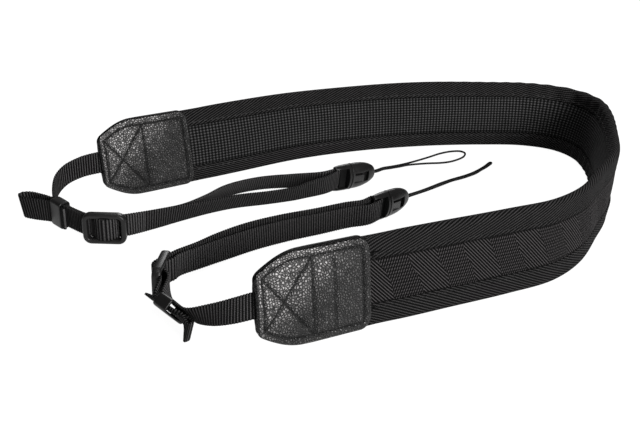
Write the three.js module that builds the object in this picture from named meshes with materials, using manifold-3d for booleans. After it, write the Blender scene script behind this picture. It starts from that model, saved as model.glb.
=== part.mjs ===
// Camera neck strap: a padded neck band standing on its edge in a U, a leather tab at each end,
// and from each tab a webbing strap through a keeper, a triglide and a quick-release buckle with a cord loop.
// Units are millimetres, +Z is up, and the strap rests on z = 0. The arms of the U run along X, with the bend at +X.

import * as THREE from 'three';
import { mergeVertices } from 'three/addons/utils/BufferGeometryUtils.js';
import Module from 'manifold-3d';

const wasm = await Module();
wasm.setup();

// Driving dimensions
const GAP = 0.3;
const PAD_WIDTH = 40;
const TAPE_THICKNESS = 0.9;
const TAPE_REACH_OUTSIDE = 10;
const TAPE_REACH_INSIDE = 8.5;
const TAPE_EDGE_ROUND = 0.6;
const CANVAS_THICKNESS = 1.0;
const LINING_THICKNESS = 1.45;
const LINING_CROWN = 0.8;
const TAB_LENGTH = 50;
const TAB_NARROW_WIDTH = 24.6;
const TAB_SHOULDER_LENGTH = 19;
const TAB_CORNER_RADIUS = 5;
const LEATHER_THICKNESS = 1.3;
const PAD_END_IN_TAB = 26;
const WEBBING_WIDTH = 11;
const WEBBING_THICKNESS = 1.0;
const WEBBING_IN_TAB = 23.5;
const PLASTIC_WALL = 1.2;
const KEEPER_LENGTH = 8;
const TRIGLIDE_LENGTH = 20.4;
const TRIGLIDE_HEIGHT = 16;
const TRIGLIDE_THICKNESS = 1.8;
const TRIGLIDE_END_BAR = 2.2;
const TRIGLIDE_MIDDLE_BAR = 1.8;
const TRIGLIDE_CORNER_RADIUS = 4;
const BUCKLE_BAR_RADIUS = 1.2;
const BUCKLE_CUFF_END = 8;
const BUCKLE_TILT = 4;
const CORD_DIAMETER = 1.0;
const CORD_SPREAD = 1.6;
const CORD_STRAIGHT = 2.5;

const PAD_STEPS = 56;
const PAD_STEPS_AT_BEND = 0.4;
const TAB_STEPS = 16;
const WEBBING_STEP = 4;
const ROUND_SIDES = 20;
const CORD_SIDES = 8;
const CORD_STEPS = 52;

// Plan route of the pad's lower edge, from the front tab round the bend to the back tab.
// lean is how far the top edge tips towards the inside of the U, in degrees.
const PAD_ROUTE = [
  { x: -95, y: -83, lean: 12.2 },
  { x: -70, y: -82.7, lean: 12.2 },
  { x: -45, y: -82.3, lean: 12.2 },
  { x: -10, y: -82.3, lean: 11.8 },
  { x: 25, y: -82.6, lean: 11 },
  { x: 52, y: -81.2, lean: 9 },
  { x: 75, y: -73, lean: 6.5 },
  { x: 98, y: -58, lean: 4.5 },
  { x: 120, y: -41.5, lean: 1.5 },
  { x: 140.5, y: -13, lean: -4.5 },
  { x: 155.5, y: 10, lean: -7.5 },
  { x: 161.5, y: 28, lean: -12.5 },
  { x: 158, y: 43, lean: -18 },
  { x: 143.5, y: 56, lean: -16 },
  { x: 116, y: 66.5, lean: -12.8 },
  { x: 77, y: 76.5, lean: -12.5 },
  { x: 37, y: 82, lean: -13.2 },
  { x: -4, y: 82.6, lean: -13.7 },
  { x: -45, y: 77.2, lean: -14 },
  { x: -72, y: 73.2, lean: -14 },
  { x: -97, y: 69.8, lean: -14 },
  { x: -122, y: 66.5, lean: -14 },
];

// Middle line of each doubled webbing strap after it leaves its tab, in plan, with the height of its centre,
// its lean towards the outside of the turn, and how far the going (inner) and returning (outer) layers lie from it.
// tail is the loose end past the keeper: along the strap and out from it, round its fold and back to its tip.
const LAYER_PITCH = WEBBING_THICKNESS + GAP;
const PAIR = { inner: -LAYER_PITCH / 2, outer: LAYER_PITCH / 2 };
const KEEPER_CENTRE_Z = WEBBING_WIDTH / 2 + PLASTIC_WALL + GAP;
const TRIGLIDE_CENTRE_Z = TRIGLIDE_HEIGHT / 2;
const BUCKLE_BAR_Z = 8.3;

const FRONT_STRAP = {
  name: 'front',
  outside: 1,
  fromTab: [
    { x: -103, y: -76, z: 17.3, lean: -8, inner: 0, outer: 0 },
    { x: -110.5, y: -70.5, z: 13.2, lean: -4, inner: -0.3, outer: 0 },
    { x: -117, y: -63, z: 9.3, lean: -1, inner: -0.9, outer: 0 },
  ],
  keeper: { x: -123.5, y: -53.5, heading: 110 },
  triglide: { x: -119, y: -27, heading: 46 },
  band: [
    { x: -97, y: -15.2, z: 7.2, lean: 3, inner: -1, outer: 1 },
    { x: -84, y: -9.7, z: 6.3, lean: 7, inner: -1.9, outer: 1.9 },
    { x: -68, y: -5.3, z: 6.1, lean: 8, inner: -2.3, outer: 2.3 },
    { x: -50, y: -3.1, z: 6.1, lean: 8, inner: -2.2, outer: 2.2 },
    { x: -32, y: -3.3, z: 6.6, lean: 6, inner: -1.9, outer: 1.9 },
    { x: -16, y: -4.2, z: 7.8, lean: 3, inner: -1.9, outer: 1.9 },
    { x: -6.5, y: -5.4, z: 8.2, lean: 1, inner: -2, outer: 2 },
  ],
  tail: [
    { along: -4.5, out: 0.05 },
    { along: -8, out: 0.4 },
    { along: -11.5, out: 0.9 },
    { along: -13.6, out: 2.7 },
    { along: -12, out: 4.8 },
    { along: -8.5, out: 3.6 },
    { along: -4.5, out: 1.4 },
    { along: 0, out: LAYER_PITCH },
    { along: 4.5, out: LAYER_PITCH },
    { along: 8, out: 1.6 },
  ],
  bar: { x: 0.2, y: -3 },
};

const BACK_STRAP = {
  name: 'back',
  outside: -1,
  fromTab: [
    { x: -131.5, y: 72.8, z: 17.3, lean: 8, inner: 0, outer: 0 },
    { x: -139, y: 73.2, z: 14, lean: 2, inner: 0, outer: 0 },
    { x: -145, y: 69, z: 10.8, lean: 0, inner: -0.4, outer: 0 },
    { x: -148.7, y: 59.5, z: 8, lean: 0, inner: -1, outer: 0 },
  ],
  keeper: { x: -147.8, y: 46, heading: -66 },
  triglide: { x: -131.3, y: 22.6, heading: -23 },
  band: [
    { x: -108, y: 24.5, z: 7, lean: 8, inner: -1.2, outer: 1.2 },
    { x: -92, y: 29, z: 5.9, lean: 19, inner: -1.9, outer: 1.9 },
    { x: -77, y: 34.3, z: 5.4, lean: 27, inner: -4.8, outer: 4.8 },
    { x: -62, y: 38.8, z: 5.4, lean: 28, inner: -8.4, outer: 8.4 },
    { x: -44, y: 39.6, z: 5.4, lean: 28, inner: -10.6, outer: 10.6 },
    { x: -26, y: 37.4, z: 5.8, lean: 24, inner: -9, outer: 9 },
    { x: -12, y: 33.2, z: 7.8, lean: 8, inner: -4.2, outer: 4.2 },
  ],
  tail: [
    { along: -4.5, out: 0.05 },
    { along: -9, out: 0.9 },
    { along: -14, out: 2.4 },
    { along: -18.5, out: 4.2 },
    { along: -20.6, out: 6.8 },
    { along: -18, out: 8.4 },
    { along: -13, out: 6.4 },
    { along: -8.5, out: 3.7 },
    { along: -4.5, out: 1.5 },
    { along: 0, out: LAYER_PITCH },
    { along: 4.5, out: LAYER_PITCH },
    { along: 7.5, out: 1.5 },
  ],
  bar: { x: -3, y: 34.8 },
};

// The strap's middle line through a triglide: along the frame, and out from its plane towards the outside of the turn.
const TRIGLIDE_PASS = [
  { along: -9.8, out: -3.1 },
  { along: -6.1, out: -1.65 },
  { along: -2.9, out: 1.55 },
  { along: 0, out: 2.75 },
  { along: 2.9, out: 1.55 },
  { along: 6.1, out: -1.65 },
  { along: 9.8, out: -3.1 },
];

// Quick-release buckle: full height and depth of its cuff and of its hood along the axis from the webbing bar.
const CUFF_SECTIONS = [
  { along: -2.4, height: 13.2, depth: 5.2 },
  { along: -1.6, height: 14.4, depth: 6.4 },
  { along: 3, height: 15.2, depth: 8.4 },
  { along: BUCKLE_CUFF_END, height: 15.2, depth: 8.8 },
];
const HOOD_SECTIONS = [
  { along: BUCKLE_CUFF_END + GAP, height: 15.2, depth: 9 },
  { along: 13, height: 15, depth: 8.8 },
  { along: 17, height: 14.2, depth: 8.3 },
  { along: 21, height: 12.2, depth: 7.3 },
  { along: 24.4, height: 9, depth: 5.8 },
  { along: 26, height: 5.6, depth: 4 },
];
const CUFF_SLOT_END = 6.2;
const PLUG = { end: 20.2, height: 8.4, depth: 3.6 };
const WINDOW = { start: 10, end: 20, height: 5.8 };
const TONGUE_OUT = 3.7;

// Cord loops on the floor, from near the buckle's tip out round the loop and back.
const FRONT_CORD_ROUTE = [
  { x: 34.1, y: 11.6, z: 4.6 },
  { x: 41.6, y: 15.1, z: 3.4 },
  { x: 48.5, y: 18.7, z: 2.2 },
  { x: 59.3, y: 23.3, z: 1.2 },
  { x: 68.3, y: 26.1, z: 0.7 },
  { x: 76.6, y: 27.7, z: 0.6 },
  { x: 82.3, y: 29, z: 0.6 },
  { x: 87.6, y: 30.7, z: 0.6 },
  { x: 93.4, y: 33.1, z: 0.6 },
  { x: 98.6, y: 35.7, z: 0.6 },
  { x: 103.4, y: 38.5, z: 0.6 },
  { x: 105.3, y: 38.3, z: 0.6 },
  { x: 104.8, y: 36.9, z: 0.6 },
  { x: 98.5, y: 33.8, z: 0.6 },
  { x: 92.7, y: 31.2, z: 0.6 },
  { x: 86.6, y: 28.6, z: 0.6 },
  { x: 81.4, y: 27.1, z: 0.6 },
  { x: 75.6, y: 25.8, z: 0.6 },
  { x: 67.2, y: 24.4, z: 0.7 },
  { x: 57.9, y: 21.1, z: 1.2 },
  { x: 47.3, y: 16.7, z: 2.2 },
  { x: 40.5, y: 13.3, z: 3.4 },
  { x: 33.1, y: 9.9, z: 4.6 },
];
const BACK_CORD_ROUTE = [
  { x: 33.1, y: 45.7, z: 4.6 },
  { x: 39.9, y: 48, z: 3.4 },
  { x: 48, y: 51, z: 2 },
  { x: 54.2, y: 53.2, z: 1.2 },
  { x: 63, y: 55.8, z: 0.6 },
  { x: 72.6, y: 58, z: 0.6 },
  { x: 83, y: 60.6, z: 0.6 },
  { x: 91.5, y: 61, z: 0.6 },
  { x: 96.8, y: 59.4, z: 0.6 },
  { x: 98, y: 56.4, z: 0.6 },
  { x: 94.4, y: 52, z: 0.6 },
  { x: 88, y: 49.2, z: 0.6 },
  { x: 81.2, y: 47.9, z: 0.6 },
  { x: 74.8, y: 48.3, z: 0.6 },
  { x: 67.8, y: 50, z: 0.6 },
  { x: 61.5, y: 51.2, z: 0.6 },
  { x: 52.8, y: 50.9, z: 1.2 },
  { x: 46.8, y: 49, z: 2 },
  { x: 38.9, y: 46.2, z: 3.4 },
  { x: 32.1, y: 43.9, z: 4.6 },
];

// Finishes
const MATERIALS = {
  canvas: new THREE.MeshStandardMaterial({ color: 0x161617, roughness: 0.9, metalness: 0 }),
  lining: new THREE.MeshStandardMaterial({ color: 0x1b1c1d, roughness: 0.92, metalness: 0 }),
  tape: new THREE.MeshStandardMaterial({ color: 0x131314, roughness: 0.9, metalness: 0 }),
  leather: new THREE.MeshStandardMaterial({ color: 0x363433, roughness: 0.55, metalness: 0 }),
  webbing: new THREE.MeshStandardMaterial({ color: 0x141415, roughness: 0.85, metalness: 0 }),
  plastic: new THREE.MeshStandardMaterial({ color: 0x242425, roughness: 0.45, metalness: 0 }),
  cord: new THREE.MeshStandardMaterial({ color: 0x111112, roughness: 0.7, metalness: 0 }),
};

const UP = new THREE.Vector3(0, 0, 1);
const strap = new THREE.Group();

// Moves every vertex of a geometry to where place(x, y, z) puts it.
function remap(geometry, place) {
  const position = geometry.attributes.position;
  for (let i = 0; i < position.count; i += 1) {
    const p = place(position.getX(i), position.getY(i), position.getZ(i));
    position.setXYZ(i, p.x, p.y, p.z);
  }
  return geometry;
}

function signedVolume(geometry) {
  const position = geometry.attributes.position;
  const index = geometry.index;
  const [a, b, c] = [new THREE.Vector3(), new THREE.Vector3(), new THREE.Vector3()];
  let volume = 0;
  for (let i = 0; i < index.count; i += 3) {
    a.fromBufferAttribute(position, index.getX(i));
    b.fromBufferAttribute(position, index.getX(i + 1));
    c.fromBufferAttribute(position, index.getX(i + 2));
    volume += a.dot(b.cross(c)) / 6;
  }
  return volume;
}

// One closed body: shared vertices merged, faces pointing out.
function closed(geometry) {
  geometry.deleteAttribute('normal');
  geometry.deleteAttribute('uv');
  const merged = mergeVertices(geometry, 1e-4);
  if (signedVolume(merged) < 0) {
    const index = merged.index;
    for (let i = 0; i < index.count; i += 3) {
      const second = index.getX(i + 1);
      index.setX(i + 1, index.getX(i + 2));
      index.setX(i + 2, second);
    }
  }
  return merged;
}

function toSolid(geometry) {
  const body = closed(geometry);
  const vertProperties = new Float32Array(body.attributes.position.array);
  const triVerts = new Uint32Array(body.index.array);
  return new wasm.Manifold(new wasm.Mesh({ numProp: 3, vertProperties, triVerts }));
}

function toGeometry(solid) {
  const mesh = solid.getMesh();
  const geometry = new THREE.BufferGeometry();
  geometry.setAttribute('position', new THREE.BufferAttribute(mesh.vertProperties, 3));
  geometry.setIndex(new THREE.BufferAttribute(mesh.triVerts, 1));
  return geometry;
}

function addPiece(name, geometry, material, parent = strap) {
  const mesh = new THREE.Mesh(closed(geometry), material);
  mesh.name = name;
  parent.add(mesh);
  return mesh;
}

// A route through a table's rows: its point, plan direction and other columns at any place on it.
function makeRoute(rows, columns) {
  const points = rows.map((row) => new THREE.Vector3(row.x, row.y, row.z ?? 0));
  const curve = new THREE.CatmullRomCurve3(points, false, 'centripetal');
  curve.arcLengthDivisions = 600;
  const places = rows.map((row, i) => i);
  const values = rows.flatMap((row) => columns.map((name) => row[name] ?? 0));
  const between = new THREE.CubicInterpolant(places, values, columns.length);
  const last = rows.length - 1;
  function at(place) {
    const point = curve.getPoint(place / last);
    const direction = curve.getTangent(place / last).setZ(0).normalize();
    const found = between.evaluate(place);
    const station = { point, direction, left: new THREE.Vector3(-direction.y, direction.x, 0) };
    columns.forEach((name, i) => {
      station[name] = found[i];
    });
    return station;
  }
  const length = curve.getLength();
  const atDistance = (distance) => at(curve.getUtoTmapping(0, distance) * last);
  return { at, atDistance, length, last };
}

// The neck pad's own frame: s along the route, v up its width, n across its thickness towards the inside of the U.
const padRoute = makeRoute(PAD_ROUTE, ['lean']);

function padPoint(n, v, s) {
  const station = padRoute.atDistance(THREE.MathUtils.clamp(s, 0, padRoute.length));
  const lean = THREE.MathUtils.degToRad(station.lean);
  return station.point
    .addScaledVector(station.left, n + v * Math.sin(lean))
    .addScaledVector(UP, v * Math.cos(lean));
}

// Neck pad

const CANVAS_INNER_FACE = -0.7;
const CANVAS_OUTER_FACE = CANVAS_INNER_FACE - CANVAS_THICKNESS;
const LINING_OUTER_FACE = CANVAS_INNER_FACE + 1.5 * GAP;
const LINING_EDGE_FACE = LINING_OUTER_FACE + LINING_THICKNESS;
const TAPE_OUTER_FACE = CANVAS_OUTER_FACE;
const TAPE_INNER_FACE = LINING_EDGE_FACE + GAP + TAPE_THICKNESS;

function padLength(outline) {
  const shape = new THREE.Shape(outline.map(([n, v]) => new THREE.Vector2(n, v)));
  const start = PAD_END_IN_TAB;
  const length = padRoute.length - 2 * PAD_END_IN_TAB;
  const geometry = new THREE.ExtrudeGeometry(shape, { depth: 1, steps: PAD_STEPS, bevelEnabled: false });
  return remap(geometry, (n, v, t) => {
    const crowded = t + PAD_STEPS_AT_BEND * Math.sin(2 * Math.PI * t) / (2 * Math.PI);
    return padPoint(n, v, start + length * crowded);
  });
}

function canvasBand() {
  const low = TAPE_REACH_OUTSIDE + GAP;
  const high = PAD_WIDTH - low;
  return padLength([
    [CANVAS_OUTER_FACE, low],
    [CANVAS_INNER_FACE, low],
    [CANVAS_INNER_FACE, high],
    [CANVAS_OUTER_FACE, high],
  ]);
}

function meshLining() {
  const low = TAPE_THICKNESS + GAP;
  const high = PAD_WIDTH - low;
  const crownFace = LINING_EDGE_FACE + LINING_CROWN;
  const crownLow = TAPE_REACH_INSIDE + GAP;
  const crownHigh = PAD_WIDTH - crownLow;
  return padLength([
    [LINING_OUTER_FACE, low],
    [LINING_EDGE_FACE, low],
    [LINING_EDGE_FACE, crownLow],
    [crownFace, crownLow + LINING_CROWN],
    [crownFace, crownHigh - LINING_CROWN],
    [LINING_EDGE_FACE, crownHigh],
    [LINING_EDGE_FACE, high],
    [LINING_OUTER_FACE, high],
    [LINING_OUTER_FACE, PAD_WIDTH - TAPE_REACH_OUTSIDE],
    [LINING_OUTER_FACE, TAPE_REACH_OUTSIDE],
  ]);
}

// A tape folded over one long edge of the pad; edge is the height of that edge and inwards points to the pad's middle.
function edgeTape(edge, inwards) {
  const v = (distance) => edge + inwards * distance;
  return padLength([
    [TAPE_OUTER_FACE, v(TAPE_EDGE_ROUND)],
    [TAPE_OUTER_FACE + TAPE_EDGE_ROUND, v(0)],
    [TAPE_INNER_FACE - TAPE_EDGE_ROUND, v(0)],
    [TAPE_INNER_FACE, v(TAPE_EDGE_ROUND)],
    [TAPE_INNER_FACE, v(TAPE_REACH_INSIDE)],
    [TAPE_INNER_FACE - TAPE_THICKNESS, v(TAPE_REACH_INSIDE)],
    [TAPE_INNER_FACE - TAPE_THICKNESS, v(TAPE_THICKNESS)],
    [TAPE_OUTER_FACE + TAPE_THICKNESS, v(TAPE_THICKNESS)],
    [TAPE_OUTER_FACE + TAPE_THICKNESS, v(TAPE_REACH_OUTSIDE)],
    [TAPE_OUTER_FACE, v(TAPE_REACH_OUTSIDE)],
  ]);
}

addPiece('canvas_band', canvasBand(), MATERIALS.canvas);
addPiece('mesh_lining', meshLining(), MATERIALS.lining);
addPiece('edge_tape_top', edgeTape(PAD_WIDTH, -1), MATERIALS.tape);
addPiece('edge_tape_bottom', edgeTape(0, 1), MATERIALS.tape);

// Leather tabs: two plies that close over the pad's end and come together over the webbing.

const WEBBING_IN_TAB_N = 0.3;
const CLOSED_UNTIL = 13;

function tabHalfWidth(fromNarrowEnd) {
  const rise = Math.min(1, fromNarrowEnd / TAB_SHOULDER_LENGTH) * Math.PI / 2;
  const shoulder = TAB_NARROW_WIDTH / 2 + (PAD_WIDTH - TAB_NARROW_WIDTH) / 2 * Math.sin(rise);
  const intoCorner = Math.max(0, fromNarrowEnd - (TAB_LENGTH - TAB_CORNER_RADIUS));
  return shoulder - TAB_CORNER_RADIUS + Math.sqrt(TAB_CORNER_RADIUS ** 2 - intoCorner ** 2);
}

// end is 0 at the front tab and 1 at the back tab; side is -1 for the outer ply and 1 for the inner one.
function tabPly(end, side) {
  const closedFace = WEBBING_IN_TAB_N + side * (WEBBING_THICKNESS / 2 + GAP);
  const openFace = side < 0 ? TAPE_OUTER_FACE - GAP : TAPE_INNER_FACE + GAP;
  const box = new THREE.BoxGeometry(1, 1, 1, TAB_STEPS, 1, 2);
  return remap(box, (x, y, z) => {
    const fromNarrowEnd = TAB_LENGTH * (1 - Math.cos(Math.PI * (x + 0.5))) / 2;
    const opening = THREE.MathUtils.smoothstep(fromNarrowEnd, CLOSED_UNTIL, PAD_END_IN_TAB - 1);
    const face = THREE.MathUtils.lerp(closedFace, openFace, opening);
    const n = face + side * (y + 0.5) * LEATHER_THICKNESS;
    const v = PAD_WIDTH / 2 + 2 * z * tabHalfWidth(fromNarrowEnd);
    const s = end === 0 ? fromNarrowEnd : padRoute.length - fromNarrowEnd;
    return padPoint(n, v, s);
  });
}

addPiece('front_tab_outer', tabPly(0, -1), MATERIALS.leather);
addPiece('front_tab_inner', tabPly(0, 1), MATERIALS.leather);
addPiece('back_tab_outer', tabPly(1, -1), MATERIALS.leather);
addPiece('back_tab_inner', tabPly(1, 1), MATERIALS.leather);

// Webbing straps

function planDirection(heading) {
  const angle = THREE.MathUtils.degToRad(heading);
  return new THREE.Vector3(Math.cos(angle), Math.sin(angle), 0);
}

// The plan point that lies along and out from a piece of hardware on the strap.
function beside(hardware, outside, along, out) {
  const direction = planDirection(hardware.heading);
  const outward = new THREE.Vector3(-direction.y, direction.x, 0).multiplyScalar(outside);
  return new THREE.Vector3(hardware.x, hardware.y, 0).addScaledVector(direction, along).addScaledVector(outward, out);
}

function tabRow(end, fromNarrowEnd) {
  const s = end === 0 ? fromNarrowEnd : padRoute.length - fromNarrowEnd;
  const point = padPoint(WEBBING_IN_TAB_N, PAD_WIDTH / 2, s);
  return { x: point.x, y: point.y, z: point.z, lean: -padRoute.atDistance(s).lean, inner: 0, outer: 0 };
}

function strapRows(design) {
  const end = design.outside > 0 ? 0 : 1;
  const keeperReach = KEEPER_LENGTH / 2 + GAP;
  const keeperRows = [-keeperReach, 0, keeperReach].map((along) => {
    const { x, y } = beside(design.keeper, design.outside, along, 0);
    return { x, y, z: KEEPER_CENTRE_Z, lean: 0, inner: -LAYER_PITCH, outer: 0 };
  });
  const triglideRows = TRIGLIDE_PASS.map(({ along, out }) => {
    const { x, y } = beside(design.triglide, design.outside, along, out);
    return { x, y, z: TRIGLIDE_CENTRE_Z, lean: 0, ...PAIR };
  });
  const wrapRadius = BUCKLE_BAR_RADIUS + GAP + WEBBING_THICKNESS / 2;
  const barRow = { ...design.bar, z: BUCKLE_BAR_Z, lean: 0, pitch: BUCKLE_TILT, inner: -wrapRadius, outer: wrapRadius };
  const tabRows = [WEBBING_IN_TAB, WEBBING_IN_TAB / 2, 2.5, 0].map((fromNarrowEnd) => tabRow(end, fromNarrowEnd));
  const rows = [...tabRows, ...design.fromTab, ...keeperRows, ...triglideRows, ...design.band, barRow];
  return { rows, keeperPlace: tabRows.length + design.fromTab.length };
}

// Stations of one layer of the strap between two places on its middle line.
function layerStations(route, outside, column, from, to) {
  const stations = [];
  const way = Math.sign(to - from);
  for (let row = from; row !== to; row += way) {
    const span = route.at(row).point.distanceTo(route.at(row + way).point);
    const steps = Math.max(2, Math.ceil(span / WEBBING_STEP));
    for (let i = 0; i < steps; i += 1) {
      stations.push(layerStation(route, outside, column, row + way * i / steps));
    }
  }
  stations.push(layerStation(route, outside, column, to));
  return stations;
}

function layerStation(route, outside, column, place) {
  const found = route.at(place);
  const outward = found.left.clone().multiplyScalar(outside);
  const lean = THREE.MathUtils.degToRad(found.lean);
  const pitch = THREE.MathUtils.degToRad(found.pitch);
  const upward = UP.clone()
    .addScaledVector(outward, Math.tan(lean))
    .addScaledVector(found.direction, Math.tan(pitch))
    .normalize();
  return { point: found.point.addScaledVector(outward, found[column]), upward };
}

function wrapStations(route, outside) {
  const end = route.at(route.last);
  const outward = end.left.clone().multiplyScalar(outside);
  const { upward } = layerStation(route, outside, 'outer', route.last);
  const steps = 8;
  return Array.from({ length: steps - 1 }, (unused, i) => {
    const angle = Math.PI * (i + 1) / steps;
    const point = end.point.clone()
      .addScaledVector(outward, -end.outer * Math.cos(angle))
      .addScaledVector(end.direction, end.outer * Math.sin(angle));
    return { point, upward };
  });
}

function tailStations(design) {
  const points = design.tail.map(({ along, out }) => {
    return beside(design.keeper, design.outside, along, out).setZ(KEEPER_CENTRE_Z);
  });
  const curve = new THREE.CatmullRomCurve3(points, false, 'centripetal');
  const steps = 3 * (design.tail.length - 1);
  return curve.getPoints(steps).map((point) => ({ point, upward: UP }));
}

// A flat strip of webbing through stations, each with its centre point and the direction of its width.
function strip(stations) {
  const last = stations.length - 1;
  const sides = stations.map((station, i) => {
    const ahead = stations[Math.min(last, i + 1)].point;
    const behind = stations[Math.max(0, i - 1)].point;
    return ahead.clone().sub(behind).setZ(0).normalize().cross(UP);
  });
  const box = new THREE.BoxGeometry(1, 1, 1, last, 1, 1);
  return remap(box, (x, y, z) => {
    const i = Math.round((x + 0.5) * last);
    return stations[i].point.clone()
      .addScaledVector(sides[i], y * WEBBING_THICKNESS)
      .addScaledVector(stations[i].upward, z * WEBBING_WIDTH);
  });
}

// Plastic hardware, each in its own frame: x along the strap, y to its left, z up.

function placed(hardware, z) {
  const group = new THREE.Group();
  group.position.set(hardware.x, hardware.y, z);
  group.rotation.z = THREE.MathUtils.degToRad(hardware.heading);
  strap.add(group);
  return group;
}

function roundedRectangle(path, halfWidth, halfHeight, radius, centre = 0) {
  const [left, right] = [centre - halfWidth, centre + halfWidth];
  path.moveTo(left + radius, -halfHeight);
  path.lineTo(right - radius, -halfHeight);
  path.absarc(right - radius, -halfHeight + radius, radius, -Math.PI / 2, 0);
  path.absarc(right - radius, halfHeight - radius, radius, 0, Math.PI / 2);
  path.absarc(left + radius, halfHeight - radius, radius, Math.PI / 2, Math.PI);
  path.absarc(left + radius, -halfHeight + radius, radius, Math.PI, Math.PI * 1.5);
  return path;
}

// A ring of plastic round three layers of webbing.
function keeperRing() {
  const holeHalfDepth = LAYER_PITCH + WEBBING_THICKNESS / 2 + 1.5 * GAP;
  const holeHalfHeight = WEBBING_WIDTH / 2 + GAP;
  const halfDepth = holeHalfDepth + PLASTIC_WALL;
  const halfHeight = holeHalfHeight + PLASTIC_WALL;
  const shape = roundedRectangle(new THREE.Shape(), halfDepth, halfHeight, PLASTIC_WALL);
  shape.holes.push(roundedRectangle(new THREE.Path(), holeHalfDepth, holeHalfHeight, GAP));
  const options = { depth: KEEPER_LENGTH, bevelEnabled: false, curveSegments: 2 };
  const ring = new THREE.ExtrudeGeometry(shape, options);
  return remap(ring, (x, y, z) => new THREE.Vector3(z - KEEPER_LENGTH / 2, x, y));
}

// A flat frame with a slot on each side of its middle bar.
function triglideFrame() {
  const bevel = 0.4;
  const halfLength = TRIGLIDE_LENGTH / 2 - bevel;
  const halfHeight = TRIGLIDE_HEIGHT / 2 - bevel;
  const shape = roundedRectangle(new THREE.Shape(), halfLength, halfHeight, TRIGLIDE_CORNER_RADIUS);
  const slotStart = TRIGLIDE_MIDDLE_BAR / 2 + bevel;
  const slotEnd = TRIGLIDE_LENGTH / 2 - TRIGLIDE_END_BAR - bevel;
  const slotHalfHeight = WEBBING_WIDTH / 2 + GAP + bevel;
  for (const side of [-1, 1]) {
    const centre = side * (slotStart + slotEnd) / 2;
    const slot = new THREE.Path();
    shape.holes.push(roundedRectangle(slot, (slotEnd - slotStart) / 2, slotHalfHeight, bevel, centre));
  }
  const plate = new THREE.ExtrudeGeometry(shape, {
    depth: TRIGLIDE_THICKNESS - 2 * bevel,
    bevelThickness: bevel,
    bevelSize: bevel,
    bevelSegments: 1,
    curveSegments: 3,
  });
  return remap(plate, (x, y, z) => new THREE.Vector3(x, z - TRIGLIDE_THICKNESS / 2 + bevel, y));
}

// A round-ended loft along x whose sections are ellipses, from a table of heights and depths.
function ellipticLoft(sections) {
  const profile = [
    new THREE.Vector2(0, sections[0].along),
    ...sections.map(({ along, height }) => new THREE.Vector2(height / 2, along)),
    new THREE.Vector2(0, sections.at(-1).along),
  ];
  const turned = new THREE.LatheGeometry(profile, ROUND_SIDES);
  const places = sections.map(({ along }) => along);
  const ratios = sections.map(({ height, depth }) => depth / height);
  const flatness = new THREE.LinearInterpolant(places, ratios, 1);
  return remap(turned, (x, y, z) => new THREE.Vector3(y, z * flatness.evaluate(y)[0], x));
}

function block(from, to, halfDepth, halfHeight) {
  const box = new THREE.BoxGeometry(to - from, 2 * halfDepth, 2 * halfHeight);
  return box.translate((from + to) / 2, 0, 0);
}

// Cuff with the bar that the webbing wraps, and a plug with a press tongue on each face.
function buckleCuff() {
  const bar = new THREE.CylinderGeometry(BUCKLE_BAR_RADIUS, BUCKLE_BAR_RADIUS, CUFF_SECTIONS[0].height, 12);
  const slotHalfHeight = WEBBING_WIDTH / 2 + 1.5 * GAP;
  const slotDepth = CUFF_SECTIONS[2].depth;
  const slot = block(CUFF_SECTIONS[0].along - 1, CUFF_SLOT_END, slotDepth, slotHalfHeight);
  const plug = block(CUFF_SLOT_END + 1, PLUG.end, PLUG.depth / 2, PLUG.height / 2);
  const tongue = block(WINDOW.start + GAP, WINDOW.end - 3.2, TONGUE_OUT, WINDOW.height / 2 - GAP);
  const cuff = toSolid(ellipticLoft(CUFF_SECTIONS))
    .subtract(toSolid(slot))
    .add(toSolid(bar.rotateX(Math.PI / 2)))
    .add(toSolid(plug))
    .add(toSolid(tongue));
  return toGeometry(cuff);
}

// Bullet-shaped hood over the plug, with a window on each broad face.
function buckleHood() {
  const start = HOOD_SECTIONS[0].along;
  const socket = block(start - 1, PLUG.end + GAP, PLUG.depth / 2 + GAP, PLUG.height / 2 + GAP);
  const window = block(WINDOW.start, WINDOW.end, HOOD_SECTIONS[0].depth, WINDOW.height / 2);
  const hood = toSolid(ellipticLoft(HOOD_SECTIONS)).subtract(toSolid(socket)).subtract(toSolid(window));
  return toGeometry(hood);
}

function cordLoop(route, buckle) {
  buckle.updateWorldMatrix(true, false);
  const fromTip = (along, side) => {
    const local = new THREE.Vector3(HOOD_SECTIONS.at(-1).along + along, side * CORD_SPREAD / 2, 0);
    return buckle.localToWorld(local);
  };
  const out = [fromTip(GAP, 1), fromTip(GAP + CORD_STRAIGHT, 1)];
  const back = [fromTip(GAP + CORD_STRAIGHT, -1), fromTip(GAP, -1)];
  const points = [...out, ...route.map(({ x, y, z }) => new THREE.Vector3(x, y, z)), ...back];
  const extrudePath = new THREE.CatmullRomCurve3(points, false, 'centripetal');
  const section = new THREE.Shape();
  section.absarc(0, 0, CORD_DIAMETER / 2, 0, Math.PI * 2);
  const options = { extrudePath, steps: CORD_STEPS, bevelEnabled: false, curveSegments: CORD_SIDES / 2 };
  return new THREE.ExtrudeGeometry(section, options);
}

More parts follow.
